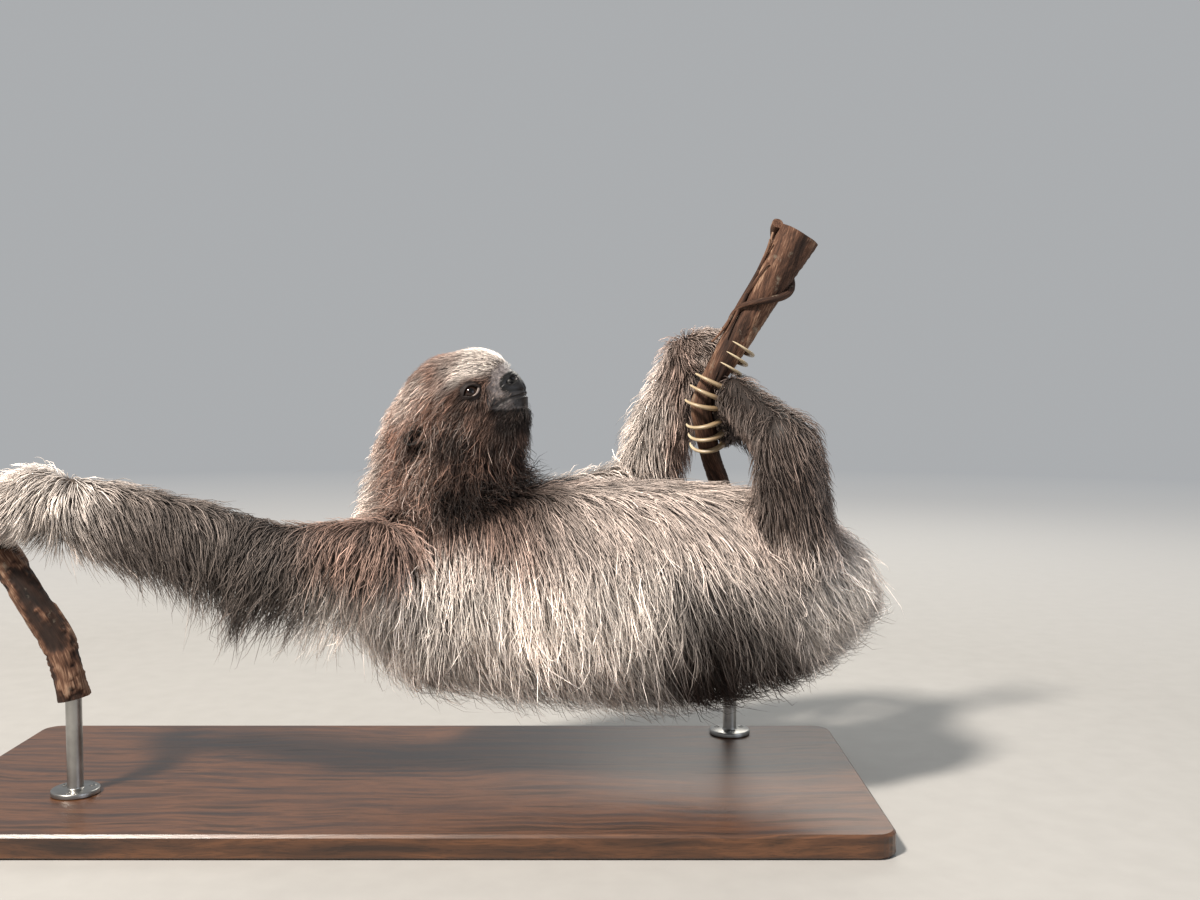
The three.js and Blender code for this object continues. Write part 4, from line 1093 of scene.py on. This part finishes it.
# ---- claws --------------------------------------------------------------------------------------
# Three long curved claws of horn on each paw hook round the branch. Each is deep and narrow, with a
# rounded back, and grows out of a short furred finger.

claw_rings, claw_sides = 44, 18
claw_narrow = 0.72  # width along the branch for its depth
claw_under = 0.8  # depth of the side to the branch for that of the back
claw_blunt = 0.06  # share of its length over which the tip is rounded

# Horn: smooth, slightly see-through brown, paler towards the worn tip, with fine streaks along it.
streak_width = 0.5 * mm
claw_horn, tree = new_material("claw_horn")
share = add_node(tree, "Attribute", attribute_name="share").outputs["Fac"]
spot = add_node(tree, "Attribute", attribute_name="spot").outputs["Vector"]
streaks = add_node(tree, "TexNoise", {"Vector": spot, "Scale": 1 / streak_width, "Detail": 3.0})
mixed = add_node(tree, "Math", {0: streaks, 1: 0.35, 2: share}, operation="MULTIPLY_ADD")
horn = add_node(
    tree, "ValToRGB", {"Fac": mixed},
    [(0.1, "#4d3c2b"), (0.5, "#7d694f"), (0.95, "#a8977a"), (1.0, "#c3b394")])
sheen = add_node(tree, "MapRange", {"Value": streaks, "To Min": 0.3, "To Max": 0.5})
relief = add_node(tree, "Bump", {"Height": streaks, "Strength": 0.2, "Distance": 0.15 * mm})
shader = add_node(tree, "BsdfPrincipled", {
    "Base Color": horn, "Roughness": sheen, "Normal": relief, "IOR": 1.54,
    "Coat Weight": 0.15, "Coat Roughness": 0.25})
add_node(tree, "OutputMaterial", {0: shader})

for paw, grip in grips.items():
    for number in range(claw_count):
        shares = np.linspace(-0.04, 1.0, claw_rings)
        line = claw_line(grip, number, shares)
        middle, axis, *_ = claw_frame(grip, number)
        outward = unit(line - middle)
        taper = claw_root + (claw_tip - claw_root) * np.clip(shares, 0, 1) ** 1.4
        taper = taper * np.sqrt(np.clip((1.004 - shares) / claw_blunt, 0, 1))
        turn = np.arange(claw_sides) / claw_sides * 2 * math.pi
        reach = np.where(np.sin(turn) < 0, claw_under, 1.0) * np.sin(turn)
        rings = line[:, None] + taper[:, None, None] * (
            claw_narrow * np.cos(turn)[None, :, None] * axis + reach[None, :, None] * outward[:, None])
        vertices, walls, caps = skinned(rings)
        far = travel(line)
        spot = np.stack(np.broadcast_arrays(
            np.cos(turn) * claw_root, np.sin(turn) * claw_root, far[:, None] * 0.06 + 0.05 * number), 2)
        claw = new_piece(
            f"claw_{paw}_{number + 1}_horn", vertices, [walls, caps],
            share=np.concatenate([np.repeat(np.clip(shares, 0, 1), claw_sides), (0, 1)]),
            spot=np.concatenate([spot.reshape(-1, 3), [(0, 0, 0), (0, 0, 0.06 * far[-1])]]))
        wear(claw, claw_horn)
        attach(claw, "root")
        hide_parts(f"claw_{paw}_{number + 1}")

# ---- coat ---------------------------------------------------------------------------------------
# Long straw-like guard hair over the whole body, and short fur on the face, paws and round the mouth.
# It grows from the skin along the lie of the coat, sags, curls at its tips and gathers into locks.

# For each piece of coat: how many locks, how many rings in each, and half its width in millimetres.
coat_pieces = {
    "chest": (5900, 5, 0.34), "belly": (6400, 5, 0.34), "loin": (5300, 5, 0.34), "rump": (3600, 5, 0.34),
    "neck": (5400, 4, 0.3), "head": (6800, 4, 0.24), "face": (8000, 3, 0.18),
    "upper_arm_right": (4000, 5, 0.33), "forearm_right": (4200, 5, 0.33),
    "upper_arm_left": (2000, 4, 0.34), "forearm_left": (2600, 4, 0.32),
    "leg_right": (2100, 4, 0.32), "leg_left": (1500, 4, 0.32),
    "hand_right": (2000, 3, 0.3), "hand_left": (1400, 3, 0.3),
    "foot_right": (1500, 3, 0.3), "foot_left": (1300, 3, 0.3)}
patch_width = 0.003  # of each lock on the baking map
steps = 6  # in which a lock is traced from its root to its tip
root_depth = 0.8 * mm  # that it starts under the skin
skin_gap = 0.4 * mm  # that it keeps above the skin
curl_size, hook_size = 4.0 * mm, 5.0 * mm  # how far a long lock swings, and its tip bends
locks_to_leader = 15
gathered = 14 * mm  # how far from a leader the locks still lean to it
blond_share, light_share = 0.16, 0.25
# Ovals that hair keeps out of, by their half axes in millimetres. The one round each eye lies a little ahead of it.
eye_clearing, eye_clearing_ahead = (8.2, 5.2), 0.8
ear_clearing = (6.6, 4.3)
ear_cut_share = 0.86  # of the locks that would cross an ear's hollow
branch_gap = 1.2 * mm

# Sloth hair: coarse, grooved and dry, dark at its root and bleached towards its tip. The dark at the root is
# partly painted shade deep in the coat.
sloth_hair, tree = new_material("sloth_hair")
tint = add_node(tree, "Attribute", attribute_name="tint").outputs["Fac"]
share = add_node(tree, "Attribute", attribute_name="along").outputs["Fac"]
root_shade_and_bleach = add_node(tree, "MapRange", {"Value": share, "To Min": 0.3, "To Max": 1.22})
value = add_node(tree, "Math", {0: tint, 1: root_shade_and_bleach}, operation="MULTIPLY")
grey = add_node(tree, "CombineXYZ", {0: value, 1: value, 2: value})
tone = add_node(tree, "Mix", {0: 1.0, 6: coat_colour(tree), 7: grey}, data_type="RGBA", blend_type="MULTIPLY")
shader = add_node(tree, "BsdfPrincipled", {
    "Base Color": tone, "Roughness": 0.5, "Specular IOR Level": 0.35, "IOR": 1.55})
add_node(tree, "OutputMaterial", {0: shader})

random = np.random.default_rng(20)
# Each triangle of skin belongs to the piece of the length of body that it is nearest to.
skin_data.calc_loop_triangles()
corners = np.empty(len(skin_data.loop_triangles) * 3, np.int32)
skin_data.loop_triangles.foreach_get("vertices", corners)
corners = corners.reshape(-1, 3)
piece_names = list(coat_pieces)
piece_of_length = np.array([piece_names.index(part["piece"]) for part in body])
owner = piece_of_length[np.argmin(nearest_lengths(points[corners].mean(1)), 0)]


def unwrapped(corners):
    """Flat places for the corners of these triangles, from Blender's own unwrapping of them."""
    used, index = np.unique(corners, return_inverse=True)
    patch = new_piece("patch", points[used], [index.reshape(-1, 3)])
    bpy.context.view_layer.objects.active = patch
    patch.select_set(True)
    bpy.ops.object.mode_set(mode="EDIT")
    bpy.ops.mesh.select_all(action="SELECT")
    bpy.ops.uv.smart_project(angle_limit=1.15, island_margin=0.004, scale_to_bounds=True)
    bpy.ops.object.mode_set(mode="OBJECT")
    flat = np.empty(len(corners) * 6, np.float32)
    patch.data.uv_layers[0].uv.foreach_get("vector", flat)
    bpy.data.meshes.remove(patch.data)
    return flat.reshape(-1, 3, 2)


def scattered(corners, flat, count):
    """Random places on these triangles, spread by how thickly hair grows there, and their flat places."""
    a, b, c = (points[corners[:, i]] for i in range(3))
    across = np.cross(b - a, c - a)
    area = np.linalg.norm(across, axis=1) * furriness(points[corners].mean(1))
    chosen = np.searchsorted(np.cumsum(area) / area.sum(), (np.arange(count) + random.random(count)) / count)
    chosen = np.minimum(chosen, len(corners) - 1)
    u, v = random.random((2, count, 1))
    u, v = np.where(u + v > 1, 1 - u, u), np.where(u + v > 1, 1 - v, v)
    place = a[chosen] + u * (b - a)[chosen] + v * (c - a)[chosen]
    spot = flat[chosen, 0] + u * (flat[chosen, 1] - flat[chosen, 0]) + v * (flat[chosen, 2] - flat[chosen, 0])
    return place, spot


def furriness(places):
    """How thickly hair grows: nowhere on naked skin, in the eyes or in the ears, and thicker on the near side."""
    ahead, up, side = in_head(places).T
    off_lips = np.abs(up - mouth_height(ahead)) > 1.6
    stubble = 0.3 * (1 - pad_share(ahead, up, side)) * (1 - step(ahead, -12, -6)) * off_lips
    thick = np.maximum(1 - bare_share(places), stubble) * (1.0 + 0.25 * step(-places[:, 1] / mm, -10, 40))
    for eye in eyes.values():
        a, b, _ = eye_place(places, eye)
        thick = thick * step(np.hypot((a - 1.5) / 9.5, b / 6.4), 0.9, 1.05)
    for ear in ears.values():
        away = places - ear["middle"]
        deep = away @ ear["look"]
        reach = np.hypot(away @ forward / 8, away @ upward / 5.5) / mm
        thick = thick * np.where(deep > -30 * mm, step(reach, 0.9, 1.1), 1)
    for grip in grips.values():
        middle, axis, _, _, radius = grip_frame(grip)
        away = places - middle
        away = np.linalg.norm(away - (away @ axis)[:, None] * axis, axis=1)
        thick = thick * step(away, radius + 1 * mm, radius + 3 * mm)
    return thick


def lie(places, outward):
    """The way the coat lies at these places, along the skin, but hanging where the skin faces down."""
    near = nearest_lengths(places)
    weight = np.exp(-(near - near.min(0)) / (7 * mm))
    way = 0
    for w, part in zip(weight, body):
        share = round_cone(places, *part["flesh"])[1][:, None]
        way = way + w[:, None] * (part["lay"][0] + share * (part["lay"][1] - part["lay"][0]))
    way = unit(way)
    sunk = np.minimum((way * outward).sum(1), 0)
    raised = np.maximum((way * outward).sum(1), 0)
    return unit(way - (sunk + 0.75 * raised)[:, None] * outward)


def clear_of_features(places):
    """Moves hair out of the lids and the branches."""
    for eye in eyes.values():
        a, b, c = eye_place(places, eye)
        a = a - eye_clearing_ahead
        reach = np.hypot(a / eye_clearing[0], b / eye_clearing[1])
        inside = (reach < 1) & (c > 0) & (c < 16)
        push = np.where(inside, 1 / np.maximum(reach, 0.2) - 1, 0)
        fore, above = eye_axes(eye)
        places = places + (push * a * mm)[:, None] * fore + (push * b * mm)[:, None] * above
    for line, radii in ((left_line, left_radii), (right_line, right_radii)):
        shares = np.linspace(0, 1, 90)
        samples, _ = along(line, shares)
        thick = radius_at(radii, shares) + branch_gap
        close = np.nonzero((places > samples.min(0) - 0.02).all(1) & (places < samples.max(0) + 0.02).all(1))[0]
        if len(close):
            away = places[close, None] - samples[None]
            far = np.linalg.norm(away, axis=2)
            nearest = far.argmin(1)
            row = np.arange(len(close))
            push = np.maximum(thick[nearest] - far[row, nearest], 0)
            places[close] += unit(away[row, nearest]) * push[:, None]
    return places


def sampled(lines, at):
    """Points on traced locks, this many steps from their roots."""
    low = np.minimum(at.astype(int), steps - 1)
    part = (at - low)[..., None]
    row = np.arange(len(lines))[:, None]
    return lines[row, low] * (1 - part) + lines[row, low + 1] * part


# All roots are set out first, piece by piece.
roots, spots, owners = [], [], []
for number, name in enumerate(piece_names):
    mine = corners[owner == number]
    place, spot = scattered(mine, unwrapped(mine), coat_pieces[name][0])
    roots.append(place)
    spots.append(spot)
    owners.append(np.full(len(place), number))
roots, spots, owners = np.concatenate(roots), np.concatenate(spots), np.concatenate(owners)
count = len(roots)
x, _, z = (roots / mm).T
half_width = np.array([coat_pieces[name][2] for name in piece_names])[owners] * mm
outward = slope(lambda p: body_distance(p, "flesh"), roots, 1 * mm)


def of_piece(*names):
    """The locks that belong to these pieces."""
    return np.isin(owners, [piece_names.index(name) for name in names])


# How long each lock is: by the lengths of body round its root, and by the depth of the coat over it.
weight = nearest_lengths(roots)
weight = np.exp(-(weight - weight.min(0)) / (5 * mm))
weight = weight / weight.sum(0)
hair = np.array([part["hair"] for part in body])
depth = np.maximum(-body_distance(roots, "coat"), 0.5 * mm)
reach = (weight * hair[:, :1]).sum(0) * mm + (weight * hair[:, 1:]).sum(0) * depth
reach = reach * random.uniform(0.65, 1.35, count)
# The head and neck are shaggy, but combed flat on top and behind.
shaggy = of_piece("head", "neck")
combed = np.maximum(step(outward @ upward, 0.1, 0.6), step(outward @ back, 0.3, 0.8))
reach = reach * np.where(shaggy, 1 - 0.45 * combed, 1) * (1 - 0.5 * bare_share(roots))
longish = np.clip(reach / (45 * mm), 0.05, 1)  # 1 for the longest hair
marks = markings(roots)
# A fringe of long blond wisps hangs from the underside of the near forearm.
wisps = of_piece("forearm_right") & (z < 208) & (outward[:, 2] < -0.1) & (x < -165)
wisps &= random.random(count) < 0.5
reach = np.where(of_piece("neck") & (x > 55) & (z < 268), reach * 0.6, reach)
reach = np.where(wisps, reach * 1.6, reach)
marks[wisps, 0] = 0.9
layer = random.random(count) ** 0.8  # 0 for hair that lies deep in the coat, 1 for the top of it
high = step(z, 205, 235)
loose = longish * np.where(shaggy, 1.7 - 1.4 * combed, 1.05 - 0.65 * high)
wild = np.stack([blotches(roots, 22 * mm, 40 + i) for i in range(3)], 1) * 1.1 + random.normal(0, 0.5, (count, 3))
curl = random.normal(0, 1, (count, 3)) * (curl_size * loose)[:, None]
hook = random.normal(0, 1, (count, 3)) * (hook_size * loose)[:, None]
phase = random.uniform(0, 2 * math.pi, count)

# Every lock is traced at once, a step at a time. It stays above the deeper hair and under the outline of the coat,
# but for a few loose tips. For the wisps the outline is further out.
past_outline = np.where(wisps, 14, 2) * mm
way = unit(lie(roots, outward) + (0.35 + 0.3 * layer)[:, None] * outward)
line = [roots - root_depth * outward]
here = roots.copy()
for k in range(1, steps + 1):
    t = k / steps
    here = here + way * (reach / steps)[:, None]
    out_way = slope(lambda p: body_distance(p, "flesh"), here, 1 * mm)
    above = body_distance(here, "flesh")
    coat_left = -body_distance(here, "coat")
    floor = depth * layer * 0.8 * min(1, 1.6 * t) + skin_gap
    ceiling = random.uniform(-2.0, 3.0, count) * mm * longish + skin_gap + np.where(shaggy, 2.5 * combed, 0) * mm
    here = here + out_way * np.maximum(floor - above, 0)[:, None] * 0.8
    over = np.maximum(ceiling - coat_left - past_outline, 0)
    here = here - out_way * np.minimum(over, np.maximum(above - skin_gap, 0))[:, None] * 0.85
    here = clear_of_features(here)
    line.append(here)
    way = unit(
        0.55 * unit(here - line[-2]) + 0.45 * lie(here, out_way) + (0.35 * longish)[:, None] * down
        + wild * (0.08 + 0.3 * loose * t)[:, None])
line = np.stack(line, 1)  # locks, steps, xyz

# Locks lean together at their tips, towards the nearest of a few leaders, and then curl.
leaders = random.permutation(count)[:count // locks_to_leader]
tree_of_leaders = KDTree(len(leaders))
for i, leader in enumerate(leaders):
    tree_of_leaders.insert(roots[leader], i)
tree_of_leaders.balance()
follow = np.array([leaders[tree_of_leaders.find(p)[1]] for p in roots])
shares = np.linspace(0, 1, steps + 1)
t = shares[None, :, None]
close = np.exp(-np.linalg.norm(roots - roots[follow], axis=1) / gathered)
strength = (random.uniform(-0.1, 1.0, count).clip(0) * close * np.clip(longish * 1.6, 0, 1))[:, None, None]
line = line + (line[follow] - line) * strength * t ** 1.5
swing = np.stack([np.sin(phase + 5.0 * share) - np.sin(phase) for share in shares], 1)
line = line + swing[..., None] * curl[:, None] * t + hook[:, None] * t ** 3
# A lock that would cover an ear's hollow ends at its rim, but for a few.
inside = np.zeros((count, steps + 1), bool)
for ear in ears.values():
    away = line - ear["middle"]
    hollow = np.hypot(away @ forward / ear_clearing[0], away @ upward / ear_clearing[1]) / mm
    inside |= (hollow < 1) & (away @ ear["look"] > -30 * mm)
inside &= (random.random(count) < ear_cut_share)[:, None]
kept_steps = np.where(inside.any(1), np.maximum(inside.argmax(1) - 0.6, 0.5), steps)
line = sampled(line, kept_steps[:, None] * shares)

# How bright each lock is: by its leader, by how deep it lies and by chance, with some bleached ones on top.
# The darkening of the deeper locks is painted shade within the coat.
shade = random.normal(0, 0.2, count)[follow] * np.clip(longish * 2, 0, 1)
shade = shade * (1 + 1.6 * (1 - step(z, 130, 185)))
tint = (0.5 + 0.75 * layer) * np.exp(shade)
tint = tint * np.exp(random.normal(0, 0.27, count) + 0.14 * blotches(roots, 9 * mm, 50))
tint = np.where(random.random(count) < blond_share, tint * 1.4, tint)
tint = tint * np.exp(np.where(shaggy, random.normal(0, 0.42, count), 0))
tint = tint * (1 + 0.22 * marks[:, 0])
light = shaggy & (random.random(count) < light_share) & ((x < 30) | (z > 290))
marks[light] = marks[light] * (1, 0.6, 0.5) + (0.22, 0, 0)
tint = np.where(wisps, tint * 1.25, tint)

# Each lock is a three-sided tube that tapers to a point.
turn = np.arange(3) / 3 * 2 * math.pi
for number, name in enumerate(piece_names):
    mine = owners == number
    rings = coat_pieces[name][1]
    shares = np.linspace(0, 1, rings + 1)
    path = sampled(line[mine], (shares * steps)[None])
    way = unit(np.gradient(path, axis=1))
    across = unit(np.cross(way, np.repeat(outward[mine][:, None], rings + 1, 1)))
    third = np.cross(way, across)
    wide = half_width[mine][:, None] * random.uniform(0.7, 1.25, mine.sum())[:, None] * (1 - 0.8 * shares ** 1.7)
    tubes = path[:, :-1, None] + wide[:, :-1, None, None] * (
        np.cos(turn)[:, None] * across[:, :-1, None] + np.sin(turn)[:, None] * third[:, :-1, None])
    locks = len(path)
    vertices = np.concatenate([tubes.reshape(locks, -1, 3), path[:, -1:]], 1)
    each = rings * 3 + 1
    corner = np.arange(rings * 3).reshape(rings, 3)
    after = np.roll(corner, -1, 1)
    walls = np.stack([corner[:-1], after[:-1], after[1:], corner[1:]], 2).reshape(-1, 4)
    tips = np.stack([corner[-1], after[-1], np.full(3, rings * 3)], 1)
    closed = np.concatenate([tips, [(2, 1, 0)]])
    first = (np.arange(locks) * each)[:, None, None]
    piece = new_piece(
        f"coat_{name}", vertices.reshape(-1, 3), [(walls + first).reshape(-1, 4), (closed + first).reshape(-1, 3)],
        marks=np.repeat(marks[mine], each, 0), tint=np.repeat(tint[mine], each),
        along=np.tile(np.concatenate([np.repeat(shares[:-1], 3), (1,)]), locks))
    # On the baking map each lock is a small patch at its root's place.
    u = np.concatenate([np.tile(np.arange(3) / 3, rings), (0.5,)])
    v = np.concatenate([np.repeat(shares[:-1], 3), (1,)])
    flat = spots[mine][:, None] * (1 - patch_width) + patch_width * np.stack([u, v], 1)
    loops = np.empty(len(piece.data.loops), np.int32)
    piece.data.loops.foreach_get("vertex_index", loops)
    layer_of_piece = piece.data.uv_layers.new(name="OFBake")
    layer_of_piece.uv.foreach_set("vector", flat.reshape(-1, 2)[loops].astype(np.float32).ravel())
    wear(piece, sloth_hair)
    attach(piece, "root")

# ---- studio -------------------------------------------------------------------------------------
# A plain pale floor that runs out to the same tone as the air, a bright lamp high on the left for
# the sun, a large weak one on the right and another behind. None of it is part of the model.

floor_reach = 30.0
floor_sides = 96
air_colour = "#e9ecef"
air_strength = 0.5
pale_floor, tree = new_material("pale_floor")
place = add_node(tree, "NewGeometry").outputs["Position"]
away = add_node(tree, "VectorMath", {0: place}, operation="LENGTH").outputs["Value"]
fade = add_node(tree, "MapRange", {"Value": away, "From Min": 0.8, "From Max": 4.0})
dust = add_node(tree, "TexNoise", {"Vector": place, "Scale": 40.0, "Detail": 3.0})
paint = add_node(tree, "ValToRGB", {"Fac": dust}, [(0.3, "#9c9b98"), (0.7, "#a09f9c")])
tone = add_node(tree, "Mix", {0: fade, 6: paint, 7: colour("#f4f3f0")}, data_type="RGBA")
shader = add_node(tree, "BsdfPrincipled", {"Base Color": tone, "Roughness": 0.7})
haze = add_node(tree, "Emission", {"Color": colour(air_colour), "Strength": air_strength})
mixed = add_node(tree, "MixShader", {0: fade, 1: shader, 2: haze})
add_node(tree, "OutputMaterial", {0: mixed})
turn = np.arange(floor_sides) / floor_sides * 2 * math.pi
rings = [np.stack([r * np.cos(turn), r * np.sin(turn), 0 * turn], 1) for r in (0.4, 1.0, 2.5, 6.0, floor_reach)]
vertices, walls, caps = skinned(np.array(rings))
floor = new_piece("floor", vertices, [walls[:, ::-1], caps[:floor_sides, ::-1]])
wear(floor, pale_floor)

air = bpy.data.worlds.new("studio_air")
air.use_nodes = True
air.node_tree.nodes["Background"].inputs["Color"].default_value = colour(air_colour)
air.node_tree.nodes["Background"].inputs["Strength"].default_value = air_strength
bpy.context.scene.world = air


def lamp(name, place, target, size, watts, tint):
    """A square soft lamp that faces a point."""
    light = bpy.data.lights.new(name, "AREA")
    light.size = size
    light.energy = watts
    light.color = colour(tint)[:3]
    held = placed(name, light)
    held.location = place
    held.rotation_euler = (Vector(target) - Vector(place)).to_track_quat("-Z", "Y").to_euler()


middle_of_sloth = (0.05, 0.0, 0.22)
lamp("sun_side", (-1.75, -2.1, 3.4), middle_of_sloth, 0.5, 390, "#fff5ea")
lamp("shade_side", (1.8, -1.3, 0.9), middle_of_sloth, 1.2, 9, "#e8f0ff")
lamp("behind", (0.6, 1.8, 1.5), middle_of_sloth, 1.0, 16, "#fffaf0")

# The camera stands a metre off at the height of the head, 52 degrees wide, and looks 3 degrees down.
view = bpy.data.cameras.new("view")
view.sensor_width = 36
view.lens = 36.9
camera = placed("view", view)
camera.location = (0.150, -0.98265, 0.3315)
camera.rotation_euler = (math.radians(87), 0, 0)
bpy.context.scene.camera = camera
bpy.context.scene.view_settings.view_transform = "Standard"
